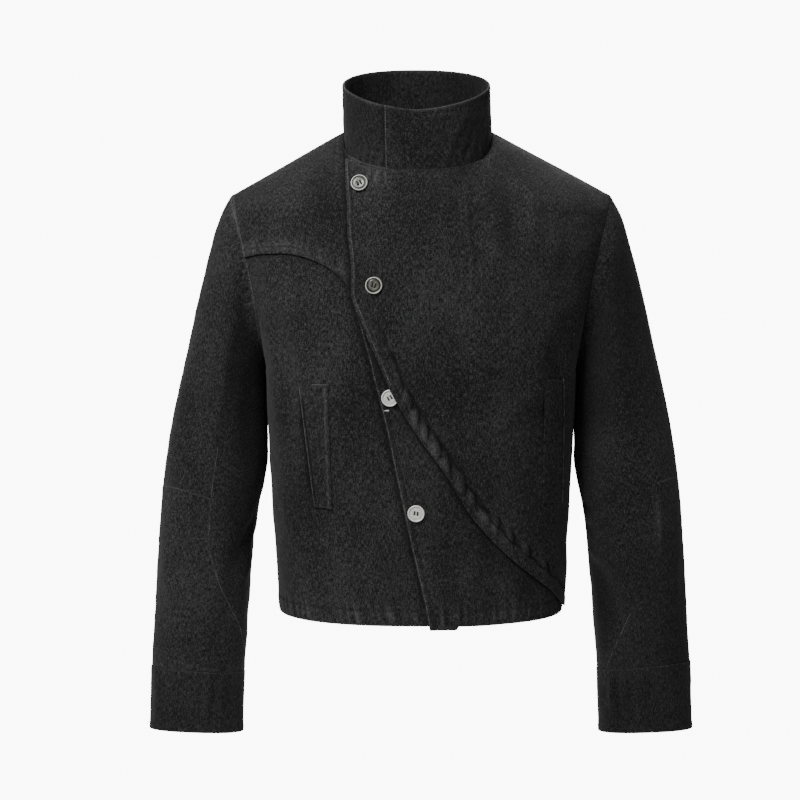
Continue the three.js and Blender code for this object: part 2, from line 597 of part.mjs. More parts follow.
// Left front, upper piece, whose free edge runs down the placket and away across to the side
const upperUp = [
  0.006, 0.018, 0.03, 0.045, 0.06, 0.078, 0.1, 0.135, 0.18, 0.23, 0.29, 0.35, 0.41, 0.46, 0.483, 0.505, 0.527, 0.545,
  0.56, 0.585, 0.62, 0.66, 0.7, 0.74, 0.78, 0.82, 0.86, 0.9, 0.925, 0.95, 0.975, 1,
];
const upperAcross = [0, 0.04, 0.085, 0.14, 0.21, 0.28, 0.34, 0.4, 0.45, 0.48, 0.5, 0.6, 0.7, 0.8, 0.89, 0.96, 1];
const neckRun = (NECK_SHARE - placketEdge(1)) / (1 - placketEdge(1));
piece('left_front_upper', bodyPanel(front, upperAcross.length - 1, upperUp.length - 1, (i, j) => {
  const s = upperAcross[i] <= 0.5 ? (upperAcross[i] / 0.5) * neckRun : lerp(neckRun, 1, (upperAcross[i] - 0.5) / 0.5);
  const t = upperUp[j];
  const a = lerp(flapEdge(t), 1, s);
  const top = a > flapTopSpots[3][0] ? 1 : Math.min(1, flapTop(a));
  const v = t - (1 - top) * smooth((t - 0.8) / 0.2);
  return [lerp(flapEdge(v), 1, s), v];
}, upperFrontOut));

// Pocket welts, strips sewn on along one long side and both ends
function welt(corners, out) {
  const spots = corners.map(locate);
  const NU = 3;
  const NV = 6;
  return wall(NU, NV, (i, j) => {
    const [tl, tr, br, bl] = spots;
    const at = (k) => lerp(lerp(bl[k], br[k], i / NU), lerp(tl[k], tr[k], i / NU), j / NV);
    const [a, v] = [at(0), at(1)];
    return { p: front(a, v), n: panelNormal(front, a, v), out: out(a, v) + LAP_STEP };
  }, DENIM);
}
piece('right_pocket_welt', welt(RIGHT_WELT, () => 0));
piece('left_pocket_welt', welt(LEFT_WELT, upperFrontOut));

// Collar
function collar(degrees, share) {
  const foot = add(neckLine(degrees), [NECK.midX, 0, COLLAR_FOOT]);
  return mix(foot, rimLine(degrees), share);
}
const COLLAR_AROUND = 40;
const COLLAR_UP = 3;
piece('collar', wall(COLLAR_AROUND, COLLAR_UP, (i, j) => {
  const degrees = lerp(COLLAR_FROM, COLLAR_TO, i / COLLAR_AROUND);
  const share = j / COLLAR_UP;
  const around = add(collar(degrees + 1, share), collar(degrees - 1, share), -1);
  const up = add(collar(degrees, 1), collar(degrees, 0), -1);
  const outer = collarStandsOut(degrees);
  const inner = -COLLAR_IN * smooth((degrees - 280) / 45);
  return { p: collar(degrees, share), n: unit(cross(around, up)), out: outer + inner };
}, COLLAR_WALL));

// Sleeves and cuffs; the right one is the left one mirrored, with its own seams
const flip = (q, side) => [q[0] * side, q[1], q[2]];
function sleevePanel(side, nu, nv, where) {
  return wall(nu, nv, (i, j) => {
    const [half, down] = where(i, j);
    return { p: flip(sleeve(half, down), side), n: flip(sleeveNormal(half, down), side), out: 0 };
  }, DENIM);
}
const HALF_TURN_LENGTH = 190; // about half the way round a sleeve
const SEAM_TURN = SEAM_GAP / 2 / HALF_TURN_LENGTH;
const OUTER_ACROSS = 11;
const FRONT_ACROSS = 8;
const UPPER_DOWNS = [ARMHOLE_GAP, 10, 22, 40, 62, 85, 110, 140, 170, 205, 240, 275, 305];
const FOREARM_DOWNS = [415, 450, 485, 518, CUFF_SEAM - SEAM_GAP / 2];
const FRONT_DOWNS = [...UPPER_DOWNS, 322, 349, 376, ...FOREARM_DOWNS];
SLEEVES.forEach(({ side, name, seam, elbowTop, elbowEnd }) => {
  const curve = (table) => through(table.map((q) => q[0]), table.map((q) => q[1]));
  const seamTurn = curve(seam);
  const [elbowFrom, elbowTo] = [curve(elbowTop), curve(elbowEnd)];
  const half = SEAM_GAP / 2;
  // rows are distances down the sleeve, or functions of the turn
  const outer = (rows) => sleevePanel(side, OUTER_ACROSS, rows.length - 1, (i, j) => {
    const s = i / OUTER_ACROSS;
    let down = 200;
    let turn = 0;
    for (let k = 0; k < 8; k += 1) {
      turn = lerp(UNDER_SEAM - 2 + SEAM_TURN, seamTurn(down) - SEAM_TURN, s);
      down = typeof rows[j] === 'function' ? rows[j](turn) : rows[j];
    }
    return [turn, down];
  });
  piece(`${name}_sleeve_upper`, outer([...UPPER_DOWNS, (t) => elbowFrom(t) - half]));
  piece(`${name}_sleeve_elbow`, outer([
    (t) => elbowFrom(t) + half,
    (t) => (elbowFrom(t) + elbowTo(t)) / 2,
    (t) => elbowTo(t) - half,
  ]));
  piece(`${name}_sleeve_forearm`, outer([(t) => elbowTo(t) + half, ...FOREARM_DOWNS]));
  piece(`${name}_sleeve_front`, sleevePanel(side, FRONT_ACROSS, FRONT_DOWNS.length - 1, (i, j) => {
    const from = seamTurn(FRONT_DOWNS[j]) + SEAM_TURN;
    return [lerp(from, UNDER_SEAM - SEAM_TURN, i / FRONT_ACROSS), FRONT_DOWNS[j]];
  }));
  const CUFF_AROUND = 22;
  const CUFF_ROWS = 2;
  piece(`${name}_cuff`, wall(CUFF_AROUND, CUFF_ROWS, (i, j) => {
    const turn = (2 * i) / CUFF_AROUND;
    const down = lerp(CUFF_SEAM + half, CUFF_END, j / CUFF_ROWS);
    return { p: flip(sleeve(turn, down), side), n: flip(normalOf(sleeve, turn, down), side), out: CUFF_PROUD };
  }, CUFF_WALL, true));
});

// Four-hole buttons with a raised rim
function solidOf(geometry) {
  const bare = geometry.index ? geometry : mergeVertices(geometry);
  bare.deleteAttribute('normal');
  bare.deleteAttribute('uv');
  const merged = mergeVertices(bare, 1e-4);
  return new wasm.Manifold(new wasm.Mesh({
    numProp: 3,
    vertProperties: new Float32Array(merged.attributes.position.array),
    triVerts: new Uint32Array(merged.index.array),
  }));
}
function buttonGeometry() {
  const { radius, base, rim, rimWidth, hole, holeAt } = BUTTON;
  const profile = [
    [0, 0], [radius - 1, 0], [radius, 0.8], [radius, rim - 0.5], [radius - 0.5, rim],
    [radius - rimWidth + 0.3, rim], [radius - rimWidth - 0.4, base], [0, base],
  ].map(([r, h]) => new THREE.Vector2(r, h));
  const disc = new THREE.LatheGeometry(profile, 20);
  disc.rotateX(Math.PI / 2);
  let solid = solidOf(disc);
  [[-1, -1], [1, -1], [1, 1], [-1, 1]].forEach(([sx, sy]) => {
    const drill = new THREE.CylinderGeometry(hole, hole, 4 * base, 8);
    drill.rotateX(Math.PI / 2);
    drill.translate((sx * holeAt) / Math.SQRT2 * 1.1, (sy * holeAt) / Math.SQRT2, base / 2);
    solid = solid.subtract(solidOf(drill));
  });
  const mesh = solid.getMesh();
  const geometry = new THREE.BufferGeometry();
  geometry.setAttribute('position', new THREE.BufferAttribute(mesh.vertProperties, 3));
  geometry.setIndex(new THREE.BufferAttribute(mesh.triVerts, 1));
  geometry.computeVertexNormals();
  return geometry;
}
BUTTONS.forEach(({ name, x, z, look }, i) => {
  const [a, v] = locate([x, z]);
  const n = panelNormal(front, a, v);
  const out = (i < 2 ? upperFrontOut : lowerFrontOut)(a, v) + BUTTON_SEAT;
  const mesh = new THREE.Mesh(buttonGeometry(), new THREE.MeshStandardMaterial(look));
  mesh.name = name;
  mesh.position.set(...add(clearOfCollar(front, a, v), n, out));
  mesh.quaternion.setFromUnitVectors(new THREE.Vector3(0, 0, 1), new THREE.Vector3(...n));
  group.add(mesh);
});

export default group;
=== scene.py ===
# A cropped black denim jacket with a stand collar and a lapped front, filled out as if worn and empty inside.
# Worked out in millimetres, +Z up, and made in metres. The front faces -Y and the wearer's left is +X.
import math
import bmesh
import bpy
import numpy as np
from mathutils import Matrix, Vector


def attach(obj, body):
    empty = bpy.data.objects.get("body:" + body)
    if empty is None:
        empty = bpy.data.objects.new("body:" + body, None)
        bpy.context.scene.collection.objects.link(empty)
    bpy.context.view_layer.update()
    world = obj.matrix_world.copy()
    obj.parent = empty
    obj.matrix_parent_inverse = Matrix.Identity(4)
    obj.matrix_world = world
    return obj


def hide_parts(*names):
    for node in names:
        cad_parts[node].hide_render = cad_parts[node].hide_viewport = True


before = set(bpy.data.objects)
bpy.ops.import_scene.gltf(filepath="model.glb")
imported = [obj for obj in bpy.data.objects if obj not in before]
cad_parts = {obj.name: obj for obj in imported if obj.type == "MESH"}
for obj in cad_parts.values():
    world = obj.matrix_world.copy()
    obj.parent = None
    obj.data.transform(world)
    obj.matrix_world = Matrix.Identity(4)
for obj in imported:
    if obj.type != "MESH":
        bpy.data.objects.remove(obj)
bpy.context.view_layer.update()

# Camera
# Straight on and a little from above, at the photograph's distance and lens.
LOOKS_DOWN = 5.21


def put(name, data):
    """A new object in the scene."""
    made = bpy.data.objects.new(name, data)
    bpy.context.scene.collection.objects.link(made)
    return made


camera = put("camera", bpy.data.cameras.new("camera"))
camera.data.sensor_width = 36
camera.data.lens = 101.7
camera.location = (-0.024, -2.6, -0.065)
camera.rotation_euler = (math.radians(90 - LOOKS_DOWN), 0, 0)
bpy.context.scene.camera = camera

# Back
# One wide piece of black denim, twill woven, cut on the lengthwise grain and sewn to the fronts at the sides,
# to the sleeves at the armholes and to the collar. Every other cut piece is made with this one's helpers.
MM = 0.001
DENIM = 1.5  # thickness of one layer
STITCH_LIFT = 0.16
UNDERARM = 0.545  # share of the body's height at the bottom of the armhole
ARMHOLE_MID = 0.8
BODY_HEIGHT = 505
NECK_SHARE = 0.33  # of a panel's half width ends at the neck, the rest at the shoulder
NECK = {"mid_x": -3.5, "x": 84.5, "front": -95, "back": 80, "front_z": -38, "side_z": 6, "back_z": 12}
NECK_POWER = 0.87
NECK_GAP = -0.6  # the panels run a little way into the collar
SHOULDER_TIP = np.array([218, 5, -67])
SEAM_GAP = -0.06  # neighbouring pieces meet edge to edge, so that no light shows between them
# Rows from the middle to the side: share of height, the side's x, y and z, the middle's y and z,
# how square the row is and the angle at which it leaves the side
BACK_ROWS = [
    [0.0, 163.5, 0, -543, 112, -543, 2.4, 0],
    [0.165, 169, 0, -460, 114, -460, 2.45, 0],
    [0.35, 174, 0, -366, 120, -366, 2.6, 0],
    [0.545, 177, 0, -265, 129, -266, 2.9, 0],
    [0.553, 177.3, 16, -262, 129.3, -262, 2.88, 2.4],
    [0.58, 179, 36, -247, 130, -247, 2.82, 7],
    [0.63, 183, 57, -219, 131, -219, 2.65, 13.5],
    [0.7, 188.5, 67, -184, 131, -182, 2.4, 19],
    [0.8, 199, 62, -133, 126, -124, 2.2, 24],
    [0.9, 210.5, 41, -92, 112, -57, 2.1, 25],
    [0.95, 214.5, 22, -77, 99, -22, 2.1, 22],
]
FRONT_ROWS = [
    [0.0, 163.5, 0, -543, -127, -543, 2.4, 0],
    [0.165, 169, 0, -460, -133, -460, 2.45, 0],
    [0.35, 174, 0, -366, -138, -366, 2.6, 0],
    [0.545, 177, 0, -265, -139, -268, 2.9, 0],
    [0.553, 177.3, -15, -262, -139, -264, 2.88, 2.4],
    [0.58, 178.8, -33, -248, -138.5, -250, 2.82, 7],
    [0.63, 182, -51, -222, -138, -225, 2.65, 13.5],
    [0.7, 186.5, -59, -188, -136, -189.5, 2.4, 19],
    [0.8, 197, -52, -138, -130, -139, 2.2, 24],
    [0.9, 209.5, -29, -94, -118, -88, 2.1, 25],
    [0.95, 214.5, -11, -79, -107.5, -62, 2.1, 22],
]


def lerp(a, b, t):
    return a + (b - a) * t


def smooth(t):
    t = np.clip(t, 0, 1)
    return t * t * (3 - 2 * t)


def unit(vectors):
    return vectors / np.maximum(np.linalg.norm(vectors, axis=-1, keepdims=True), 1e-9)


def signed_power(t, p):
    return np.sign(t) * np.abs(t) ** p


def through(xs, ys, x, last=None):
    """A smooth curve through points with rising xs that never overshoots them, read at x."""
    xs, ys, x = np.asarray(xs, float), np.asarray(ys, float), np.asarray(x, float)
    step = np.diff(xs).reshape([-1] + [1] * (ys.ndim - 1))
    slope = np.diff(ys, axis=0) / step
    before, after = slope[:-1], slope[1:]
    first_weight, second_weight = 2 * step[1:] + step[:-1], step[1:] + 2 * step[:-1]
    turns = before * after <= 0
    inner = (first_weight + second_weight) / (
        first_weight / np.where(turns, 1, before) + second_weight / np.where(turns, 1, after)
    )
    end = slope[-1:] if last is None else last[None]
    tangents = np.concatenate([slope[:1], np.where(turns, 0, inner), end])
    i = np.clip(np.searchsorted(xs, x, side="right") - 1, 0, len(xs) - 2)
    gap = xs[i + 1] - xs[i]
    t = (x - xs[i]) / gap
    if ys.ndim == 3:
        which = np.arange(len(x))
        low, high, leave, arrive = ys[i, which], ys[i + 1, which], tangents[i, which], tangents[i + 1, which]
        gap, t = gap[:, None], t[:, None]
    else:
        low, high, leave, arrive = ys[i], ys[i + 1], tangents[i], tangents[i + 1]
    between = (
        low * (1 + 2 * t) * (1 - t) ** 2 + leave * gap * t * (1 - t) ** 2
        + high * t * t * (3 - 2 * t) + arrive * gap * t * t * (t - 1)
    )
    return np.where(t < 0, low + leave * gap * t, np.where(t > 1, high + arrive * gap * (t - 1), between))


def along(points, share):
    """Points at shares of the length of a line."""
    lengths = np.concatenate([[0], np.cumsum(np.linalg.norm(np.diff(points, axis=0), axis=1))])
    want = np.clip(share, 0, 1) * lengths[-1]
    return np.stack([np.interp(want, lengths, points[:, k]) for k in range(3)], axis=-1)


def line_length(points):
    return np.linalg.norm(np.diff(points, axis=0), axis=1).sum()


def neck_line(degrees):
    """The neck seam, by degrees from the middle of the front towards the wearer's left."""
    c, s = np.cos(np.radians(degrees)), np.sin(np.radians(degrees))
    deep = np.abs(c) ** NECK_POWER
    y = np.where(c > 0, NECK["front"], NECK["back"]) * deep
    front_z = lerp(NECK["side_z"], NECK["front_z"], np.abs(c) ** 0.6)
    back_z = lerp(NECK["side_z"], NECK["back_z"], np.abs(c) ** 1.3)
    return np.stack([NECK["x"] * signed_power(s, NECK_POWER), y, np.where(c > 0, front_z, back_z)], axis=-1)


def half_row(row):
    """Half a row of the body, from the middle to the side."""
    _, side_x, side_y, side_z, mid_y, mid_z, square, leave = row
    p = 2 / square
    start = math.radians(leave)
    angle = np.linspace(math.pi / 2, start, 241)
    across = np.maximum(np.cos(angle), 0) ** p / math.cos(start) ** p
    deep = (np.sin(angle) ** p - math.sin(start) ** p) / (1 - math.sin(start) ** p)
    return np.stack([side_x * across, lerp(side_y, mid_y, deep), lerp(mid_z, side_z, across**2)], axis=-1)


def body_side(rows, facing):
    """A side of the body: its surface by a, -1 to 1 across, and v, 0 to 1 up."""
    lines = [half_row(row) for row in rows]
    wholes = [line_length(line) for line in lines]
    heights = [row[0] for row in rows]
    wide_low, wide_high = wholes[heights.index(UNDERARM)], wholes[heights.index(ARMHOLE_MID)]

    def surface(a, v):
        a, v = np.broadcast_arrays(np.asarray(a, float), np.asarray(v, float))
        shape = a.shape
        a, v = a.ravel(), v.ravel()
        share = np.minimum(1, np.abs(a))
        points = []
        for line, whole, height in zip(lines, wholes, heights):
            free = (height - UNDERARM) / (ARMHOLE_MID - UNDERARM)
            held = share
            if 0 < free < 1:
                held = share * lerp(lerp(wide_low, wide_high, free), whole, share**5) / whole
            points.append(along(line, held))
        turn = 90 * share / NECK_SHARE
        neck = neck_line(turn if facing < 0 else 180 - turn)
        out = np.clip((share - NECK_SHARE) / (1 - NECK_SHARE), 0, 1)[:, None]
        points.append(np.where(share[:, None] <= NECK_SHARE, neck, lerp(neck_line(90), SHOULDER_TIP, out)))
        points = np.stack(points)
        level = smooth(share / NECK_SHARE)
        arrive = np.stack([np.ones_like(level), lerp(1, 1.35, level), lerp(1, 0.4, level)], axis=-1)
        last = (points[-1] - points[-2]) / (1 - heights[-1]) * arrive
        place = through(heights + [1], points, v, last)
        shift = NECK["mid_x"] * smooth((v - 0.85) / 0.15) * (1 - smooth((share - NECK_SHARE) / 0.6))
        place[:, 0] = np.sign(a) * place[:, 0] + shift
        return place.reshape(shape + (3,))

    surface.facing = facing
    return surface


front = body_side(FRONT_ROWS, -1)
back = body_side(BACK_ROWS, 1)


def bare_normal(side, a, v):
    step = 0.004
    across = side(np.minimum(a + step, 1), v) - side(np.maximum(a - step, -1), v)
    top = np.minimum(v + step, 1)
    return unit(np.cross(across, side(a, top) - side(a, top - 2 * step))) * -side.facing


def body_normal(side, a, v):
    """The outward direction, level beside the collar and shared by both sides along the shoulder seam."""
    n = bare_normal(side, a, v)
    high = smooth((v - 0.96) / 0.04)
    beyond = (np.abs(a) - NECK_SHARE * 0.6) / NECK_SHARE
    neck = high * (1 - smooth(beyond / 0.3))
    n = unit(n * np.stack([np.ones_like(neck), np.ones_like(neck), 1 - neck], axis=-1))
    shoulder = (high * smooth(beyond / 0.4))[..., None]
    out = np.maximum(np.abs(a), NECK_SHARE + 0.01) * np.where(a < 0, -1, 1)
    both = bare_normal(front, out, np.ones_like(v)) + bare_normal(back, out, np.ones_like(v))
    return unit(lerp(n, unit(both), shoulder))


def stands_out(degrees):
    """How far the lapped outer end of the collar stands out."""
    return 1.6 * (1 - smooth((degrees - 12) / 45))


def body_place(side, a, v):
    """A point of the body, moved aside near the neck so that the collar has room."""
    place = side(a, v)
    near = smooth((v - 0.93) / 0.07) * (1 - smooth((np.abs(a) - NECK_SHARE) / 0.06))
    aside = unit((place - [NECK["mid_x"], 0, 0]) * [1, 1, 0])
    gap = NECK_GAP + (stands_out(90 * a / NECK_SHARE) if side is front else 0)
    return place + aside * (gap * near)[..., None]


def row_length(side, v):
    return line_length(side(np.linspace(0, 1, 5), np.full(5, v)))


measured = np.array([0, 0.3, 0.545, 0.7, 0.9, 1])
front_lengths = [row_length(front, v) for v in measured]


def front_length(v):
    return through(measured, front_lengths, v)


def spaced(length, pitch, extra=()):
    """Shares of a side, evenly apart, with finer ones at its rounded ends."""
    ends = np.array([0, 0.12, 0.35, 0.75, 1.3]) / length
    even = np.linspace(0, 1, max(2, round(length / pitch)) + 1)[1:-1]
    even = even[(even > ends[-1] * 1.4) & (even < 1 - ends[-1] * 1.4)]
    return np.unique(np.round(np.concatenate([ends, even, 1 - ends, list(extra)]), 6))


def wavy(s, seed, pitch=60):
    """An uneven wave of about that pitch, from -1 to 1."""
    dice = np.random.default_rng(seed)
    total = np.zeros_like(s)
    for share in (0.61, 1, 1.7):
        total += np.sin(2 * np.pi * s / (pitch * share * dice.uniform(0.85, 1.15)) + dice.uniform(0, 6.3))
    return total / 2.2


def crease(x, z, path, width, height):
    """A soft ridge along a line of points, or a trough where the height is negative."""
    path = np.asarray(path, float)
    runs = np.concatenate([[0], np.cumsum(np.linalg.norm(np.diff(path, axis=0), axis=1))])
    away, reached = np.full(x.shape, np.inf), np.zeros(x.shape)
    for k in range(len(path) - 1):
        way = path[k + 1] - path[k]
        t = np.clip(((x - path[k, 0]) * way[0] + (z - path[k, 1]) * way[1]) / (way @ way), 0, 1)
        apart = np.hypot(x - path[k, 0] - t * way[0], z - path[k, 1] - t * way[1])
        reached = np.where(apart < away, runs[k] + t * (runs[k + 1] - runs[k]), reached)
        away = np.minimum(apart, away)
    taper = np.sin(np.pi * np.clip(reached / runs[-1], 0.02, 0.98)) ** 0.7
    section = np.exp(-((away / width) ** 2)) - 0.3 * np.exp(-((away / (2.2 * width)) ** 2))
    return 1.5 * height * taper * section


def from_edge(points):
    """Distance of every grid point from the grid's first row, square to it."""
    steps = np.linalg.norm(np.diff(points, axis=0), axis=2)
    away = np.concatenate([np.zeros((1, points.shape[1])), np.cumsum(steps, axis=0)])
    leave = unit(points[min(6, len(points) - 1)] - points[0])
    return away * np.linalg.norm(np.cross(leave, unit(np.gradient(points[0], axis=0))), axis=1)


def lap_shadow(away, reach):
    """Painted shadow on a layer beside the edge that laps it, by the distance outside that edge."""
    return np.exp(-((np.maximum(away, 0) / reach) ** 1.5)) * smooth((away + 5) / 3)


class Cloth:
    """A cut piece being made: a grid of points, how far each stands out, and where it is worn or has painted
    shade.
    """

    def __init__(self, node, points, normals, grain, thickness=DENIM, ring=False):
        self.node, self.points, self.normals, self.grain = node, points, normals, grain
        self.thickness, self.ring = thickness, ring
        self.low = from_edge(points.transpose(1, 0, 2)).T
        self.high = from_edge(points[:, ::-1].transpose(1, 0, 2)).T[:, ::-1]
        far = np.full(self.low.shape, 1e3)
        self.left = far if ring else from_edge(points)
        self.right = far if ring else from_edge(points[::-1])[::-1]
        steps = np.linalg.norm(np.diff(points, axis=0), axis=2)
        self.round = np.concatenate([np.zeros((1, points.shape[1])), np.cumsum(steps, axis=0)])
        steps = np.linalg.norm(np.diff(points, axis=1), axis=2)
        self.up = np.concatenate([np.zeros((points.shape[0], 1)), np.cumsum(steps, axis=1)], axis=1)
        self.out = np.zeros(self.low.shape)
        self.worn = np.zeros(self.low.shape)
        self.shade = np.zeros(self.low.shape)

    def uneven(self, height, seed, pitch=70):
        """Cloth is never quite smooth: low swells in no order."""
        dice = np.random.default_rng(seed)
        for share in (1, 0.62, 0.4, 0.27):
            way = unit(dice.normal(size=3)) * 2 * np.pi / (pitch * share)
            other = unit(dice.normal(size=3)) * 2 * np.pi / (pitch * share * 1.3)
            wave = np.sin(self.points @ way + dice.uniform(0, 6.3))
            wave *= np.sin(self.points @ other + dice.uniform(0, 6.3))
            self.out += height * share * wave * smooth(self.free() / 25)

    def free(self):
        return np.minimum(np.minimum(self.left, self.right), np.minimum(self.low, self.high))

    def rub(self, amount):
        self.worn = np.maximum(self.worn, amount)

    # painted shade: mixes the colour towards near-black
    def darken(self, amount):
        self.shade = np.maximum(self.shade, amount)

    def creases(self, folds, fade=18):
        """Soft ridges and troughs along lines of x and z, fading out towards the piece's edges."""
        x, z = self.points[..., 0], self.points[..., 2]
        for path, width, height in folds:
            self.out += crease(x, z, path, width, height) * smooth(self.free() / fade)

    def by_edge(self, edge):
        """The distance from an edge, and the run along it."""
        return getattr(self, edge), self.up if edge in ("left", "right") else self.round

    def pucker(self, edge, height, reach, pitch, slant, seed, where=1):
        """The small ridges that a line of stitches draws up, square to it or a little slanted."""
        away, run = self.by_edge(edge)
        phase = run + slant * away + 4 * wavy(run, seed, 55)
        ridge = 0.5 * np.sin(2 * np.pi * phase / pitch)
        ridge += 0.3 * np.sin(2 * np.pi * phase / (pitch * 0.63) + seed)
        rise = smooth(away / (0.35 * reach)) * (1 - smooth((away - 0.6 * reach) / (0.9 * reach)))
        size = 1.35 * height * np.clip(0.65 + 0.75 * wavy(run, seed + 7, 80), 0, 2) * where * rise
        self.out += size * ridge
        self.rub(0.25 * np.clip(size * ridge / 0.7, 0, 1))

    def fold_band(self, edge, width, rise=0.45, where=1):
        """A turned edge: a second layer as far as the stitches, and a small groove where they pull, darkened
        with painted shade.
        """
        away = getattr(self, edge)
        groove = np.exp(-(((away - width) / 1.1) ** 2)) * where
        self.out += rise * (1 - smooth((away - width) / 1.6)) * where - 0.4 * groove
        self.darken(0.55 * groove)

    def wear(self, edge, amount, at=0.6, width=0.9, where=1):
        """Rubbed pale along an edge or a seam."""
        self.rub(0.75 * amount * np.exp(-(((getattr(self, edge) - at) / width) ** 2)) * where)

    def surface(self):
        """The outer surface with its edges rounded."""
        near = np.clip(self.free() / (0.5 * self.thickness), 0, 1)
        self.rolled = 0.5 * self.thickness * (1 - np.sqrt(1 - (1 - near) ** 2))
        return self.points + self.normals * (self.out - self.rolled)[..., None]

    def stitches(self, edge, at, run_start=0.0, run_end=1.0, faded=False):
        """Marks a line of stitches at a distance from an edge, between two shares of its run."""
        away, outer = getattr(self, edge), self.surface() + self.normals * STITCH_LIFT
        if edge in ("left", "right"):
            away, outer = away.T, outer.transpose(1, 0, 2)
        line = []
        for distance, place in zip(away, outer):
            order = np.argsort(distance)
            if distance[order[-1]] > at:
                line.append([np.interp(at, distance[order], place[order][:, c]) for c in range(3)])
        first, last = int(run_start * len(line)), int(run_end * len(line))
        (faded_lines if faded else seam_lines).append(np.array(line[first:last]))

    def hem(self, height, pitch, slant, seed, first, last):
        """The turned lower edge with its puckers, and its stitches between two shares of its run."""
        self.pucker("low", height, HEM_STITCH * 1.2, pitch, slant, seed)
        self.fold_band("low", HEM_STITCH)
        self.stitches("low", HEM_STITCH, first, last)
        self.wear("low", 0.35)

    def make(self, flat, area):
        outer = self.surface()
        inner = self.points + self.normals * (self.out - self.thickness + self.rolled)[..., None]
        nu, nv = outer.shape[0] - 1, outer.shape[1] - 1
        i, j = np.meshgrid(np.arange(nu), np.arange(nv), indexing="ij")
        corners = np.stack([i, j, i + 1, j, i + 1, j + 1, i, j + 1], axis=-1).reshape(-1, 4, 2)
        if self.ring:
            outer, inner = outer[:-1], inner[:-1]
        count = outer.shape[0] * outer.shape[1]

        def number(spots, side):
            return (spots[..., 0] % outer.shape[0]) * (nv + 1) + spots[..., 1] + side * count

        faces = [number(corners, 0), number(corners[:, ::-1], 1)]
        spots = [corners, corners[:, ::-1]]
        i, j = np.arange(nu), np.arange(nv)
        rims = [np.stack([i, 0 * i, i + 1, 0 * i], -1), np.stack([i + 1, 0 * i + nv, i, 0 * i + nv], -1)]
        if not self.ring:
            rims += [np.stack([0 * j, j + 1, 0 * j, j], -1), np.stack([0 * j + nu, j, 0 * j + nu, j + 1], -1)]
        for rim in rims:
            first, second = rim[:, :2], rim[:, 2:]
            quad = np.stack([number(second, 0), number(first, 0), number(first, 1), number(second, 1)], -1)
            faces.append(quad)
            spots.append(np.stack([second, first, first, second], 1))
        faces, spots = np.concatenate(faces), np.concatenate(spots)
        verts = np.concatenate([outer.reshape(-1, 3), inner.reshape(-1, 3)])
        a, b, c, d = (verts[faces[:, k]] for k in range(4))
        if (a * (np.cross(b, c) + np.cross(c, d))).sum() < 0:  # inside out
            faces, spots = faces[:, ::-1], spots[:, ::-1]
        mesh = bpy.data.meshes.new(self.node + "_cloth")
        mesh.from_pydata((verts * MM).tolist(), [], faces.tolist())
        mesh.shade_smooth()
        grain = mesh.uv_layers.new(name="grain")
        grain.data.foreach_set("uv", (self.grain[spots[..., 0], spots[..., 1]] * MM).ravel())
        rows = slice(None, -1) if self.ring else slice(None)
        for label, values in (("worn", self.worn), ("shade", self.shade)):
            marks = mesh.attributes.new(label, "FLOAT", "POINT")
            marks.data.foreach_set("value", np.tile(values[rows].ravel(), 2))
        mesh.materials.append(denim)
        piece = put(mesh.name, mesh)
        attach(piece, "root")
        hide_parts(self.node)


class Shade:
    """A socket whose value varies over a surface; an expression on a number adds its Math nodes."""

    def __init__(self, tree, socket):
        self.tree, self.socket = tree, socket

    def join(self, operation, first, second, clamp=False):
        settings = {"operation": operation, "use_clamp": clamp}
        made = add_node(self.tree, "ShaderNodeMath", settings, [first, second])
        return Shade(self.tree, made.outputs[0])

    def __add__(self, other):
        return self.join("ADD", self, other)

    def __sub__(self, other):
        return self.join("SUBTRACT", self, other)

    def __rsub__(self, other):
        return self.join("SUBTRACT", other, self)

    def __mul__(self, other):
        return self.join("MULTIPLY", self, other)

    def clamped(self):
        return self.join("ADD", self, 0.0, clamp=True)

    def feed(self, shader, label):
        self.tree.links.new(self.socket, shader.inputs[label])

    __radd__ = __add__
    __rmul__ = __mul__


def add_node(tree, kind, settings=None, inputs=()):
    """A node with its settings and then the values or links of its sockets."""
    made = tree.nodes.new(kind)
    for label, value in (settings or {}).items():
        setattr(made, label, value)
    pairs = inputs.items() if isinstance(inputs, dict) else enumerate(inputs)
    for key, value in pairs:
        if isinstance(value, Shade):
            tree.links.new(value.socket, made.inputs[key])
        elif isinstance(value, bpy.types.NodeSocket):
            tree.links.new(value, made.inputs[key])
        else:
            made.inputs[key].default_value = value
    return made


def noise(tree, where, size, detail=2.0, rough=0.5):
    """Noise on a Mapping of those coordinates, size being its scale along each axis."""
    turned = add_node(tree, "ShaderNodeMapping", {}, {"Vector": where, "Scale": size})
    made = add_node(tree, "ShaderNodeTexNoise", {}, {
        "Vector": turned.outputs[0], "Scale": 1.0, "Detail": detail, "Roughness": rough,
    })
    return Shade(tree, made.outputs[0])


def on_object(tree):
    return add_node(tree, "ShaderNodeTexCoord").outputs["Object"]


def painted(tree, label):
    """A number kept on the mesh."""
    return Shade(tree, add_node(tree, "ShaderNodeAttribute", {"attribute_name": label}).outputs["Fac"])


def mix(tree, share, low, high):
    """A colour between two others."""
    made = add_node(tree, "ShaderNodeMix", {"data_type": "RGBA"}, {0: share, 6: low, 7: high})
    return Shade(tree, made.outputs[2])


def relief(tree, shader, strength, distance, height):
    inputs = {"Strength": strength, "Distance": distance, "Height": height}
    Shade(tree, add_node(tree, "ShaderNodeBump", {}, inputs).outputs[0]).feed(shader, "Normal")


def new_material(name):
    material = bpy.data.materials.new(name)
    material.use_nodes = True
    return material, material.node_tree, material.node_tree.nodes["Principled BSDF"]


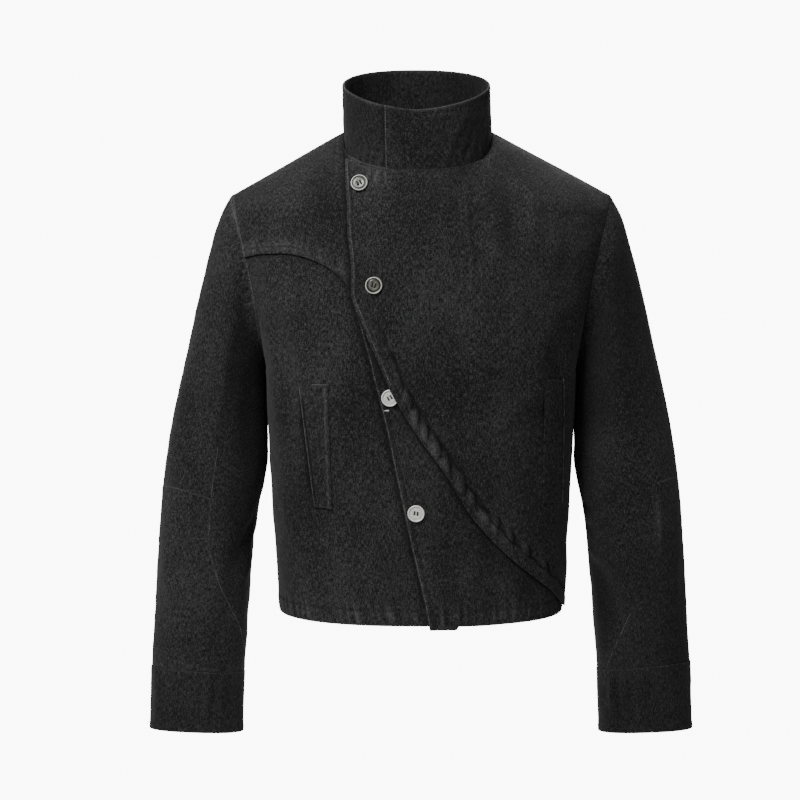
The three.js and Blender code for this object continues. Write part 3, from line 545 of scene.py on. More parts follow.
# Yarns a little under a millimetre apart: dark warp that streaks lengthwise, flecks of grey weft
DARK_YARN = (0.0036, 0.0036, 0.0038, 1)
GREY_YARN = (0.05, 0.05, 0.0505, 1)
RUBBED_YARN = (0.12, 0.12, 0.119, 1)
# painted shade: the near-black that the shade mark mixes towards in slits, creases and beside laps
PAINTED_SHADE_BLACK = (0.0015, 0.0015, 0.0015, 1)
TWILL_TURN = -62
denim, tree, shader = new_material("black_denim")
grain = add_node(tree, "ShaderNodeUVMap", {"uv_map": "grain"}).outputs[0]
warp = noise(tree, grain, (950, 220, 1), 2.0, 0.65)
weft = noise(tree, grain, (330, 1000, 1), 2.0, 0.6)
fleck = noise(tree, grain, (1300, 1100, 1), 2.0, 0.6)
slub = noise(tree, grain, (270, 90, 1), 2.0, 0.55)
nep = noise(tree, grain, (620, 330, 1), 0.0, 0.5)
cloud = noise(tree, on_object(tree), (16, 16, 9), 3.0, 0.55)
mixed = (warp - 0.5) * 3.3 + (weft - 0.5) * 2.0 + (fleck - 0.5) * 2.6 + (slub - 0.5) * 1.0
grey = (mixed + ((nep - 0.7) * 6.0).clamped() + (cloud - 0.5) * 1.0 + 0.25).clamped()
patchy = (fleck - 0.5) * 3.2 + (warp - 0.5) * 2.0 + (cloud - 0.5) * 2.0 + 0.8
rubbed = (painted(tree, "worn") * patchy).clamped()
with_wear = mix(tree, rubbed, mix(tree, grey, DARK_YARN, GREY_YARN), RUBBED_YARN)
# the shade mark paints shade and shadow over the worn yarn colour
mix(tree, painted(tree, "shade").clamped(), with_wear, PAINTED_SHADE_BLACK).feed(shader, "Base Color")
diagonal = add_node(tree, "ShaderNodeMapping", {}, {
    "Vector": grain, "Rotation": (0, 0, math.radians(TWILL_TURN)),
})
twill = add_node(tree, "ShaderNodeTexWave", {}, {
    "Vector": diagonal.outputs[0], "Scale": 320.0, "Distortion": 1.2, "Detail": 1.0, "Detail Scale": 2.0,
})
relief(tree, shader, 0.55, 0.45 * MM, Shade(tree, twill.outputs["Fac"]) * 0.35 + warp * 0.5 + fleck * 0.55)
(grey * -0.12 + 0.95).feed(shader, "Roughness")
shader.inputs["Specular IOR Level"].default_value = 0.18
shader.inputs["Sheen Weight"].default_value = 0.05
shader.inputs["Sheen Roughness"].default_value = 0.5

# Every line of stitches, in millimetres: those of charcoal thread and those that are rubbed pale
seam_lines, faded_lines = [], []


def body_piece(node, side, a, v, grain_shift):
    """A piece of the body from its grid of a and v."""
    a = np.clip(a, -1, 1)
    v = np.where(v > 0.9999, 1.0004, v)
    places = body_place(side, a, v)
    x, y, z = places[..., 0], places[..., 1], places[..., 2]
    shoulder = smooth((v - 0.6) / 0.25)
    round_side = np.sign(x) * np.maximum(0, 75 - np.abs(y)) * (1 - shoulder)
    over_shoulder = 0.7 * shoulder * (125 - np.abs(y))
    grain = np.stack([x + round_side + grain_shift, z + over_shoulder + grain_shift * 0.37], axis=-1)
    cloth = Cloth(node, places, body_normal(side, a, v), grain)
    cloth.a, cloth.v = a, v
    return cloth


def grid(shares_across, shares_up):
    return np.meshgrid(shares_across, shares_up, indexing="ij")


HEM_STITCH = 18.0
HEM_ROWS = np.array([-2.6, -1, 0, 1, 2.6]) + HEM_STITCH
neck_ends = [0.5 - NECK_SHARE / 2, 0.5 + NECK_SHARE / 2]
s, t = grid(spaced(440, 3.0, neck_ends), spaced(545, 3.2, HEM_ROWS / BODY_HEIGHT))
back_cloth = body_piece("back_panel", back, 2 * s - 1, t, 900)
BACK_FOLDS = [
    ([(-150, -150), (-120, -230), (-105, -320)], 16, 3.0),
    ([(-128, -160), (-96, -240), (-80, -310)], 13, -2.5),
    ([(152, -160), (128, -240), (118, -330)], 15, 2.6),
    ([(126, -150), (98, -225), (88, -300)], 13, -2.4),
    ([(-168, -285), (-110, -300), (-45, -296)], 11, 2.0),
    ([(168, -292), (105, -310), (50, -302)], 12, 1.8),
    ([(-40, -60), (-32, -130), (-28, -210)], 15, 1.6),
    ([(52, -45), (44, -110), (36, -200)], 14, -1.5),
    ([(-90, -520), (-84, -440), (-62, -360)], 16, 2.2),
    ([(70, -525), (62, -450), (66, -380)], 17, 2.0),
    ([(-10, -530), (-4, -460), (6, -390)], 15, -1.8),
    ([(-110, -30), (-60, -60), (0, -66), (60, -60), (115, -38)], 13, -1.5),
]
back_cloth.creases(BACK_FOLDS, 22)
back_cloth.uneven(0.5, 3)
back_cloth.hem(0.9, 13, 0.1, 4, 0.01, 0.99)
for edge in ("left", "right"):
    back_cloth.pucker(edge, 0.35, 9, 13, 0.3, 5)
    back_cloth.wear(edge, 0.35)
back_cloth.wear("high", 0.35)
back_cloth.make((0.47, 0.58), 0.26)

# Right front
# The wearer's right front below the chest seam, one layer of denim with a turned hem. Its inner edge runs on
# under the left front, and its top edge is hidden under the chest piece.
LAP_STEP = 2.3  # a layer and a little air, the rise where one piece laps another
FRONT_UNDERLAP = 40
FLAP_UNDERLAP = 38
FLAP_EASE = 45
PLACKET_LINE = [
    [-85, -31], [-82, -72], [-80, -115], [-77, -169], [-66.5, -213], [-55, -256.5],
    [-40, -317], [-29.5, -367], [-13, -444.5], [9, -543],
]
FLAP_LINE = [
    [-85, -31], [-82, -72], [-80, -115], [-77, -169], [-65, -207], [-48, -248], [-28, -291],
    [-2, -333], [28, -375], [53, -417], [87, -457], [121, -488.5], [148, -514], [162, -537],
]
CHEST_LINE = [
    [-197, -136], [-177, -132], [-150, -131], [-128, -135], [-106, -144], [-89, -156], [-76, -171],
    [-40, -184],
]
FLAP_TOP_LINE = [[-85, -31], [-61, -34.5], [-38, -37.5]]


def locate(spots):
    """The a and v of points of the front given by x and z."""
    spots = np.asarray(spots, float)
    a = np.clip(spots[:, 0] / 180, -0.98, 0.98)
    v = np.clip((spots[:, 1] + 543) / BODY_HEIGHT, 0.01, 0.99)
    h = 1e-3
    for _ in range(60):
        place = front(a, v)
        by_a, by_v = (front(a + h, v) - place) / h, (front(a, v + h) - place) / h
        miss_x, miss_z = spots[:, 0] - place[:, 0], spots[:, 1] - place[:, 2]
        det = by_a[:, 0] * by_v[:, 2] - by_v[:, 0] * by_a[:, 2]
        step_a = (miss_x * by_v[:, 2] - by_v[:, 0] * miss_z) / det
        step_v = (by_a[:, 0] * miss_z - by_a[:, 2] * miss_x) / det
        a = np.clip(a + np.clip(step_a, -0.05, 0.05), -0.999, 0.999)
        v = np.clip(v + np.clip(step_v, -0.05, 0.05), 0, 0.999)
    return a, v


placket_a, placket_v = (side[::-1] for side in locate(PLACKET_LINE))
flap_a, flap_v = (side[::-1] for side in locate(FLAP_LINE))
flap_a, flap_v = np.append(1, flap_a), np.append(0.004, flap_v)
top_a, top_v = locate(FLAP_TOP_LINE)
top_a, top_v = np.append(top_a, -0.04), np.append(top_v, 1)
chest_a, chest_v = locate(CHEST_LINE)
chest_a[0] = -1


def placket_edge(v):
    return through(placket_v, placket_a, v)


def flap_edge(v):
    return through(flap_v, flap_a, v)


def chest_edge(a):
    return through(chest_a, chest_v, a)


def out_of_placket(cloth):
    return (placket_edge(cloth.v) - cloth.a) * front_length(cloth.v)


def under_edge(v):
    """The hidden edge of the right front, wider near the neck."""
    return placket_edge(v) + FRONT_UNDERLAP / front_length(v) + 0.2 * smooth((v - 0.82) / 0.16)


def under_flap(a, v):
    return 1 - smooth(((a - under_edge(v)) * front_length(v) - 8) / FLAP_EASE)


s, t = grid(spaced(215, 2.1), spaced(400, 2.8, HEM_ROWS / 440))
v = t * 0.74
for _ in range(6):
    a = lerp(-1, under_edge(v), s)
    v = t * (chest_edge(a) + FLAP_UNDERLAP / BODY_HEIGHT)
right_front = body_piece("right_front", front, a, v, 0)
RIGHT_FOLDS = [
    ([(-172, -190), (-150, -250), (-142, -330)], 13, -2.6),
    ([(-150, -185), (-133, -240), (-128, -300)], 11, 1.8),
    ([(-168, -262), (-120, -282), (-72, -300)], 12, 1.5),
    ([(-160, -420), (-130, -460), (-118, -520)], 14, 1.8),
    ([(-70, -330), (-66, -400), (-52, -470)], 15, -1.6),
    ([(-105, -190), (-100, -235), (-86, -275)], 13, 1.3),
    ([(-96, -440), (-84, -485), (-80, -530)], 11, 1.4),
]
right_front.creases(RIGHT_FOLDS)
right_front.uneven(0.45, 11)
right_front.hem(1.2, 12, 0.1, 12, 0.01, 0.84)
right_front.pucker("left", 0.35, 9, 13, 0.3, 13)
right_front.wear("left", 0.3)
right_front.stitches("left", 0.7, 0.14, 0.2, True)
# the cloth sinks into the pocket's mouth beside the welt, with painted shade in the dip
RIGHT_SLIT = [(-137.2, -276), (-132.6, -318), (-126.7, -368), (-121.6, -408)]
x, z = right_front.points[..., 0], right_front.points[..., 2]
mouth = crease(x, z, RIGHT_SLIT, 2.0, 1.0) / 0.8
right_front.out -= 1.6 * np.clip(mouth, 0, 1)
right_front.darken(np.clip(mouth * 1.6, 0, 1))
# painted shadow beside the left front's edge and below the chest piece's edge
right_front.darken(0.8 * lap_shadow(out_of_placket(right_front), 5))
right_front.darken(0.85 * lap_shadow((chest_edge(right_front.a) - right_front.v) * BODY_HEIGHT, 2.6))
right_front.make((0.28, 0.42), 0.105)

# Right chest
# A shaped yoke over the wearer's right chest. Its curved lower edge is turned in and stitched down over the
# right front, which draws up small ridges along the curve.
CHEST_STITCH = 8.0
s, t = grid(spaced(205, 2.4), spaced(150, 2.2))
v = 0.8 + 0 * t
for _ in range(6):
    start = chest_edge(lerp(-1, under_edge(v), s))
    v = lerp(start, 1, t)
a = lerp(-1, under_edge(v), s)
right_chest = body_piece("right_chest", front, a, v, 300)
above = (v - chest_edge(a)) * BODY_HEIGHT
right_chest.out += LAP_STEP * (1 - smooth((above - FLAP_UNDERLAP - 4) / FLAP_EASE)) - 0.5
CHEST_FOLDS = [
    ([(-178, -100), (-140, -86), (-104, -60)], 13, 1.6),
    ([(-165, -118), (-128, -108), (-96, -92)], 10, -1.2),
    ([(-96, -28), (-92, -60), (-100, -98)], 8, 1.2),
]
right_chest.creases(CHEST_FOLDS)
right_chest.uneven(0.35, 21)
right_chest.pucker("low", 1.15, 15, 9.5, 0.4, 22)
right_chest.fold_band("low", CHEST_STITCH, 0.5)
right_chest.stitches("low", CHEST_STITCH, 0.02, 0.72)
right_chest.wear("low", 0.12)
right_chest.wear("low", 0.42, 8, 5, np.clip(0.5 + 0.6 * wavy(right_chest.round, 24, 14), 0, 1))
right_chest.wear("left", 0.75, 0.9, 1.8)
# painted shadow beside the flap's edge
right_chest.darken(0.95 * lap_shadow(out_of_placket(right_chest), 4.4))
right_chest.wear("high", 0.35)
right_chest.pucker("left", 0.5, 9, 10, 0.3, 23)
right_chest.make((0.25, 0.18), 0.031)

# Left front, lower piece
# It carries the button band down to the hem, where the band's end hangs a little low, and its upper edge lies
# hidden under the flap.
BAND_STITCH = 5.5
BAND_WIDTH = 30
BAND_DROP = 4
DROP_FROM = 0.045


def flap_lean(v):
    slope = (flap_edge(v + 0.01) - flap_edge(v - 0.01)) / 0.02 * front_length(v)
    return BODY_HEIGHT / np.hypot(BODY_HEIGHT, slope)


def flap_step(a, v):
    inside = (a - flap_edge(v)) * front_length(v) * flap_lean(v)
    return 1 - (1 - under_flap(a, v)) * smooth((inside - FLAP_UNDERLAP - 6) / FLAP_EASE)


s, t = grid(spaced(300, 2.8), spaced(360, 2.8, HEM_ROWS / 353))
v = 0.7 * t
left = placket_edge(v)
right = np.minimum(1, flap_edge(v) + FLAP_UNDERLAP / (front_length(v) * flap_lean(v)))
a = lerp(left, right, s)
on_band = 1 - smooth(((a - left) * front_length(v) - BAND_WIDTH) / 1.5)
v = np.where(v < DROP_FROM, v - on_band * BAND_DROP / BODY_HEIGHT * (1 - v / DROP_FROM), v)
lower = body_piece("left_front_lower", front, a, v, 1500)
lower.out += LAP_STEP * under_flap(a, v)
LOWER_FOLDS = [
    ([(4, -420), (10, -470), (22, -530)], 13, 1.5),
    ([(26, -425), (34, -480), (38, -535)], 12, -1.3),
    ([(46, -418), (54, -465), (58, -515)], 11, 1.6),
    ([(68, -434), (78, -470), (90, -505)], 9, -2.4),
    ([(92, -470), (104, -495), (118, -530)], 11, 1.2),
    ([(-14, -350), (-12, -385), (-2, -412)], 8, -0.9),
    ([(30, -372), (34, -402), (50, -440)], 9, 0.9),
]
lower.creases(LOWER_FOLDS)
lower.uneven(0.4, 31)
lower.pucker("left", 0.35, BAND_STITCH * 2, 13, 0.4, 32)
lower.fold_band("left", BAND_STITCH, 0.4)
lower.stitches("left", BAND_STITCH, 0.02, 0.93)
lower.hem(1.2, 12, -0.1, 33, 0.03, 0.985)
lower.wear("left", 0.3, 1.4)
lower.stitches("left", 1.5, 0.01, 0.99, True)
# painted shadow under the flap's edge
out_of_flap = (flap_edge(lower.v) - lower.a) * front_length(lower.v) * flap_lean(lower.v)
lower.darken(lap_shadow(out_of_flap, 3.1))
x, z = lower.points[..., 0], lower.points[..., 2]
# a broad band of painted shade below the flap
SLACK_SHADE = [(58, -412), (76, -452), (104, -488), (130, -520)]
lower.darken(0.4 * np.clip(crease(x, z, SLACK_SHADE, 17, 1.0), 0, 1))
lower.make((0.21, 0.37), 0.041)

# Left front, upper piece
# The flap: it laps over everything from the shoulder down. Its free edge runs down beside the collar and then
# away across the body to the side seam, and a bias band that is drawn up into small ridges finishes it.
BAND = 18.0  # width of the bias band
BUTTON_LIFT = 3.8
HIDDEN_BUTTON = (-35, -287)
s, t = grid(spaced(300, 2.3), spaced(520, 2.6))
s = s * (0.6 + 0.4 * s)  # finer beside the free edge
a = lerp(flap_edge(t), 1, s)
top = np.where(a > top_a[-1], 1, np.minimum(1, through(top_a, top_v, a, np.zeros(()))))
v = t - (1 - top) * smooth((t - 0.8) / 0.2)
v = 0.006 + 0.994 * v
a = lerp(flap_edge(v), 1, s)
upper = body_piece("left_front_upper", front, a, v, 2100)
x, z = upper.points[..., 0], upper.points[..., 2]
far = np.hypot(x - HIDDEN_BUTTON[0], z - HIDDEN_BUTTON[1])
at_side = 1 + 0.35 * smooth((a - 0.7) / 0.2) * smooth((0.3 - v) / 0.2)
upper.out += LAP_STEP * (under_flap(a, v) + flap_step(a, v) * at_side)
upper.out += BUTTON_LIFT * (1 - smooth((far - 11.5) / 18))
upper.out -= 1.5 * np.exp(-(((x + 67.5) / 9) ** 2) - ((z + 65) / 8) ** 2)  # the top button presses in
UPPER_FOLDS = [
    ([(94, -30), (100, -80), (102, -140)], 10, -3.2),
    ([(72, -50), (82, -95), (86, -150)], 10, 2.2),
    ([(122, -48), (126, -85), (128, -130)], 10, 2.4),
    ([(150, -60), (150, -100), (146, -150)], 10, 1.8),
    ([(112, -52), (114, -80), (115, -110)], 5, -1.2),
    ([(46, -55), (60, -100), (66, -160)], 11, -1.4),
    ([(20, -55), (26, -80), (22, -108)], 7, 1.3),
    ([(33, -52), (40, -74), (40, -98)], 6, -1.1),
    ([(174, -188), (150, -250), (140, -330)], 13, -2.6),
    ([(152, -180), (134, -240), (122, -310)], 12, 2.0),
    ([(168, -265), (118, -290), (76, -322)], 12, 1.6),
    ([(-60, -190), (-20, -230), (20, -290)], 13, 1.2),
    ([(10, -150), (40, -210), (62, -290)], 16, -1.5),
    ([(96, -340), (104, -400), (112, -450)], 12, 1.3),
    ([(160, -380), (156, -430), (158, -500)], 10, -1.4),
]
upper.creases(UPPER_FOLDS)
# the bias band's soft puffs, down the flap: top x and z, bottom x and z, width and height
BAND_PUFFS = [
    (-37, -221, -34, -239, 4, 0.7), (-29, -248, -26, -268, 4, 0.8), (-19, -274, -17, -295, 4.5, 1.0),
    (-9, -299, -8, -322, 5, 1.2), (1, -315, 3, -338, 5, 1.2), (11, -333, 15, -358, 6, 1.4),
    (23, -351, 25, -377, 5.5, 1.4), (38, -373, 43, -395, 6, 1.4), (52, -387, 53, -406, 4.5, 1.2),
    (65, -408, 70, -431, 6, 1.6), (79, -420, 80, -439, 5, 1.3), (95, -435, 95, -451, 5, 1.1),
    (112, -451, 114, -467, 5, 1.0), (132, -471, 136, -489, 4.5, 0.9),
]
for top_x, top_z, end_x, end_z, width, height in BAND_PUFFS:
    puff = crease(x, z, [(top_x, top_z), (end_x, end_z)], width, 1.1 * height) * smooth(upper.left / 5)
    upper.out += puff
    upper.rub(0.42 * np.clip(puff / 1.6, 0, 1))
# the sharp creases between them, sunk a little and darkened with painted shade
BAND_CREASES = [
    [(-31, -240), (-27, -252), (-27, -262)], [(-24, -262), (-20, -272), (-21, -282)],
    [(-13, -280), (-9, -290), (-11, -302)], [(-5, -292), (-2, -305), (-4, -318)],
    [(4, -308), (8, -322), (6, -334)], [(12, -322), (20, -337), (22, -347), (19, -355)],
    [(25, -340), (31, -357), (32, -366), (31, -377)], [(46, -375), (49, -387), (47, -397)],
    [(57, -391), (60, -400), (59, -410)], [(63, -404), (71, -412), (77, -419)],
    [(84, -417), (87, -427), (83, -439)], [(99, -436), (103, -446), (100, -456)],
    [(117, -453), (121, -463), (121, -473)], [(138, -474), (142, -484), (142, -492)],
]
for path in BAND_CREASES:
    sharp = np.clip(1.2 * crease(x, z, path, 1.8, 1.0) * smooth(upper.left / 4), 0, 1)
    upper.out -= 1.2 * sharp
    upper.darken(sharp)
upper.uneven(0.45, 41)
slanting = smooth((0.7 - v) / 0.08)
strong = 0.35 + 0.65 * smooth((0.5 - v) / 0.2) * smooth((v - 0.02) / 0.08)
upper.pucker("left", 0.45, BAND * 1.1, 9.3, -1.9, 42, where=slanting * strong)
upper.fold_band("left", BAND, 0.5, slanting)
stitch_run = BAND - 1 - 2.5 * np.abs(np.sin(np.pi * upper.up / 27 + 0.6)) * smooth((0.45 - v) / 0.1)
# the crease along the band's stitches, sunk a little and darkened with painted shade
in_crease = np.exp(-(((upper.left - stitch_run) / 1.35) ** 2)) * slanting
in_crease *= 0.8 + 0.2 * wavy(upper.up, 43, 34)
upper.out -= 1.0 * in_crease
upper.darken(np.clip(1.15 * in_crease, 0, 1))
upper.pucker("left", 0.3, BAND_STITCH * 2, 13, 0.4, 44, where=1 - slanting)
upper.fold_band("left", BAND_STITCH, 0.4, 1 - slanting)
upper.stitches("left", 3.6, 0.52, 0.985, True)
upper.stitches("left", BAND - 1, 0.4, 0.7)
upper.pucker("high", 0.9, 15, 8, 0.3, 45, where=smooth((0.45 - a) / 0.2))
upper.wear("left", 0.3, 3.2, 2.2, smooth((v - 0.5) / 0.06))
upper.wear("left", 0.1, 0.6, 0.9, slanting)
upper.wear("high", 0.55, 0.8, 1.2, smooth((-0.1 - a) / 0.1))
upper.wear("right", 0.2, 0.8, 1.2)
upper.pucker("right", 0.4, 9, 11, 0.3, 46)
upper.make((0.34, 0.54), 0.132)

# Pockets
# Two welts set in slanted mouths: narrow strips folded from the same denim and stitched down round the ends
# and along one side. The other side is the mouth.
RIGHT_WELT = [[-135, -273.5], [-102, -273], [-98.5, -412], [-118.5, -411]]
LEFT_WELT = [[134, -269], [157, -271], [158, -412], [135, -408]]
# how dark the painted shade in a pocket's slit is
MOUTH_SHADE = 0.95


def pocket_welt(node, corners, under, mouth, sewn, grain_shift, rubbed):
    """A strip on the front, by its corners at top left, top right, bottom right and bottom left."""
    corner_a, corner_v = locate(corners)
    s, t = grid(spaced(30, 0.9), spaced(140, 1.9))
    a = lerp(lerp(corner_a[3], corner_a[2], s), lerp(corner_a[0], corner_a[1], s), t)
    v = lerp(lerp(corner_v[3], corner_v[2], s), lerp(corner_v[0], corner_v[1], s), t)
    grain = np.stack([a * 225 + grain_shift, v * BODY_HEIGHT], -1)
    welt = Cloth(node, front(a, v), body_normal(front, a, v), grain)
    from_mouth, from_sewn = getattr(welt, mouth), getattr(welt, sewn)
    beneath = LAP_STEP * (under_flap(a, v) + flap_step(a, v)) if under else 0
    welt.out += beneath + LAP_STEP * 0.72 + 0.5 * (1 - smooth(from_mouth / 9))
    welt.uneven(0.25, 51)
    welt.pucker(sewn, 0.35, 9, 10, 0.3, 52)
    for at in (1.8, 7.2):
        welt.out -= 0.3 * np.exp(-(((from_sewn - at) / 0.8) ** 2))
        welt.stitches(sewn, at, 0.02, 0.98)
    for edge in ("low", "high"):
        welt.stitches(edge, 1.8, 0.08, 0.92)
        welt.wear(edge, rubbed)
    # the mouth: a rubbed edge, and just inside it a shallow groove darkened with painted shade for the slit
    slit = np.exp(-(((from_mouth - 2.9) / 1.15) ** 2)) * smooth(welt.low / 12) * smooth(welt.high / 8)
    welt.out -= 0.9 * slit
    welt.darken(MOUTH_SHADE * slit)
    welt.stitches(mouth, 0.9, 0.02, 0.98, True)
    welt.wear(mouth, 0.5, 0.7, 0.9)
    welt.wear(sewn, 0.8 * rubbed, 4.4, 1.3)
    return welt


pocket_welt("right_pocket_welt", RIGHT_WELT, False, "left", "right", 40, 0.5).make((0.034, 0.141), 0.0041)
pocket_welt("left_pocket_welt", LEFT_WELT, True, "right", "left", 90, 0.1).make((0.037, 0.143), 0.0047)

# Collar
# A stand collar of two layers: one band that goes round the neck and laps itself at the front, with stitches
# under its rim, down its free end and along its foot.
COLLAR_WALL = 2.4
RIM = {"mid_x": -5.5, "x": 84, "front": -80, "back": 79, "low_z": 28, "rise": 52}
COLLAR_FROM, COLLAR_TO = -22, 365
COLLAR_FOOT = -3.0
COLLAR_IN = 1.2
DEGREE = 1.45  # millimetres of the band to a degree


def rim_line(degrees):
    c, s = np.cos(np.radians(degrees)), np.sin(np.radians(degrees))
    y = np.where(c > 0, RIM["front"], RIM["back"]) * np.abs(c) ** NECK_POWER
    x = RIM["mid_x"] + RIM["x"] * signed_power(s, NECK_POWER)
    return np.stack([x, y, RIM["low_z"] + RIM["rise"] * ((1 - c) / 2) ** 0.7], axis=-1)


def collar_place(degrees, share):
    foot = neck_line(degrees) + [NECK["mid_x"], 0, COLLAR_FOOT]
    return lerp(foot, rim_line(degrees), share[..., None])


s, t = grid(spaced(560, 2.2), spaced(70, 1.9))
degrees = lerp(COLLAR_FROM, COLLAR_TO, s)
around = collar_place(degrees + 1, t) - collar_place(degrees - 1, t)
upward = collar_place(degrees, np.ones_like(t)) - collar_place(degrees, np.zeros_like(t))
collar_grain = np.stack([s * 560 + 3000, t * 70 + 50 * s], -1)
collar = Cloth("collar", collar_place(degrees, t), unit(np.cross(around, upward)), collar_grain, COLLAR_WALL)
collar.out += stands_out(degrees) - COLLAR_IN * smooth((degrees - 280) / 45)
# foot and rim bend differently, so the band buckles a little; paths of degrees and height above the foot
COLLAR_FOLDS = [
    ([(16, 0), (24, 30), (40, 60)], 5, 1.5),
    ([(30, 0), (40, 22), (46, 40)], 4, -1.3),
    ([(52, 0), (60, 30), (58, 55)], 6, 1.4),
    ([(-8, 0), (-4, 24), (4, 40)], 4, 0.9),
    ([(95, 0), (104, 34), (110, 62)], 7, -1.4),
    ([(122, 2), (128, 30), (126, 60)], 7, 1.3),
    ([(180, 4), (176, 36), (182, 66)], 8, 1.2),
    ([(232, 2), (240, 34), (236, 64)], 7, -1.3),
    ([(268, 2), (264, 34), (270, 60)], 6, 1.3),
    ([(318, 0), (322, 26), (316, 50)], 5, 1.3),
    ([(332, 0), (335, 24), (338, 44)], 4, -1.1),
    ([(344, 0), (346, 24), (344, 40)], 4, 1.0),
]
for path, width, height in COLLAR_FOLDS:
    on_band = [(turn * DEGREE, up) for turn, up in path]
    collar.out += crease(degrees * DEGREE, t * 70, on_band, width, height)
collar.uneven(0.35, 61, 45)
collar.pucker("high", 0.9, 9, 6, 0.3, 62)
collar.fold_band("high", BAND_STITCH, 0.35)
collar.stitches("high", BAND_STITCH, 0.005, 0.985)
collar.pucker("low", 0.9, 16, 9, 0.3, 63)
collar.fold_band("left", BAND_STITCH, 0.4)
collar.pucker("left", 0.3, 9, 9, 0.4, 64)
collar.stitches("left", BAND_STITCH, 0.1, 0.93)
collar.wear("high", 0.75, 0.8, 1.3)
collar.wear("left", 0.5)
collar.wear("low", 0.45, 0.6, 0.9, smooth((degrees - 315) / 10))
collar.stitches("left", 1.4, 0.1, 0.93, True)
# the collar is darker all round, with painted shade over the wearer's left part and painted shadow beside its
# lapped end
shaded_side = smooth((degrees - 20) / 50) * (1 - smooth((degrees - 150) / 40))
end_shadow = lap_shadow((338 - degrees) * DEGREE, 3.6) * smooth((degrees - 300) / 10)
collar.darken(0.33 + 0.32 * shaded_side + 0.55 * end_shadow)
collar.make((0.6, 0.076), 0.0405)

# Sleeves
# Each sleeve is cut in four: an outer piece down to the elbow, a shaped elbow band, an outer piece below it
# and a front piece that runs from the armhole to the cuff. The seams are single lines, rubbed pale.
# Rings below the armhole: distance down the outside, the outer point's x and z, the inner point's x and z,
# half the depth, the middle's y, the forward tilt and how square the ring is
SLEEVE_RINGS = [
    [19, 228, -86, 177.9, -273, 65, 3, 0, 2.15],
    [62, 241, -128, 177.6, -291, 69, 2, 0, 2.2],
    [105, 252, -170, 177.2, -312, 72, 1, 0, 2.25],
    [157, 263.5, -221, 176.8, -338, 74, 0, 0, 2.3],
    [211, 275.5, -274, 177.0, -365, 74, -1, 0, 2.3],
    [262, 286.5, -325, 181, -393, 73, -3, 0.02, 2.3],
    [313, 294.5, -375, 187.5, -426, 71, -6, 0.04, 2.3],
    [363, 299.5, -425, 192.5, -461, 67, -10, 0.06, 2.3],
    [408, 302.5, -470, 195.5, -495, 63, -15, 0.08, 2.3],
    [458, 305, -520, 198, -533, 58, -22, 0.1, 2.3],
    [503, 307.3, -565, 200.5, -571, 51, -30, 0.1, 2.3],
    [549, 309.3, -611, 203, -611, 43, -38, 0.1, 2.3],
    [583, 310, -645, 204, -645.5, 39, -43, 0.1, 2.3],
    [615, 310.6, -675, 205, -679, 37, -47, 0.1, 2.3],
]
CUFF_SEAM = 549  # at the inside of the arm, and a little higher outside
CUFF_END = 615
UNDER_SEAM = 1.35  # half turns from the outside round the front to the seam behind the arm
HALF_ROUND = 190  # about half the way round a sleeve
CUFF_SEAM_WEAR = 0.15
# Largest folds: middle as half turns and distance down, their spreads and height
SLEEVE_FOLDS = [
    (0.72, 170, 0.13, 110, -7), (0.47, 150, 0.09, 120, 3.5), (0.75, 420, 0.12, 60, -3),
    (1.3, 190, 0.15, 110, -5),
]
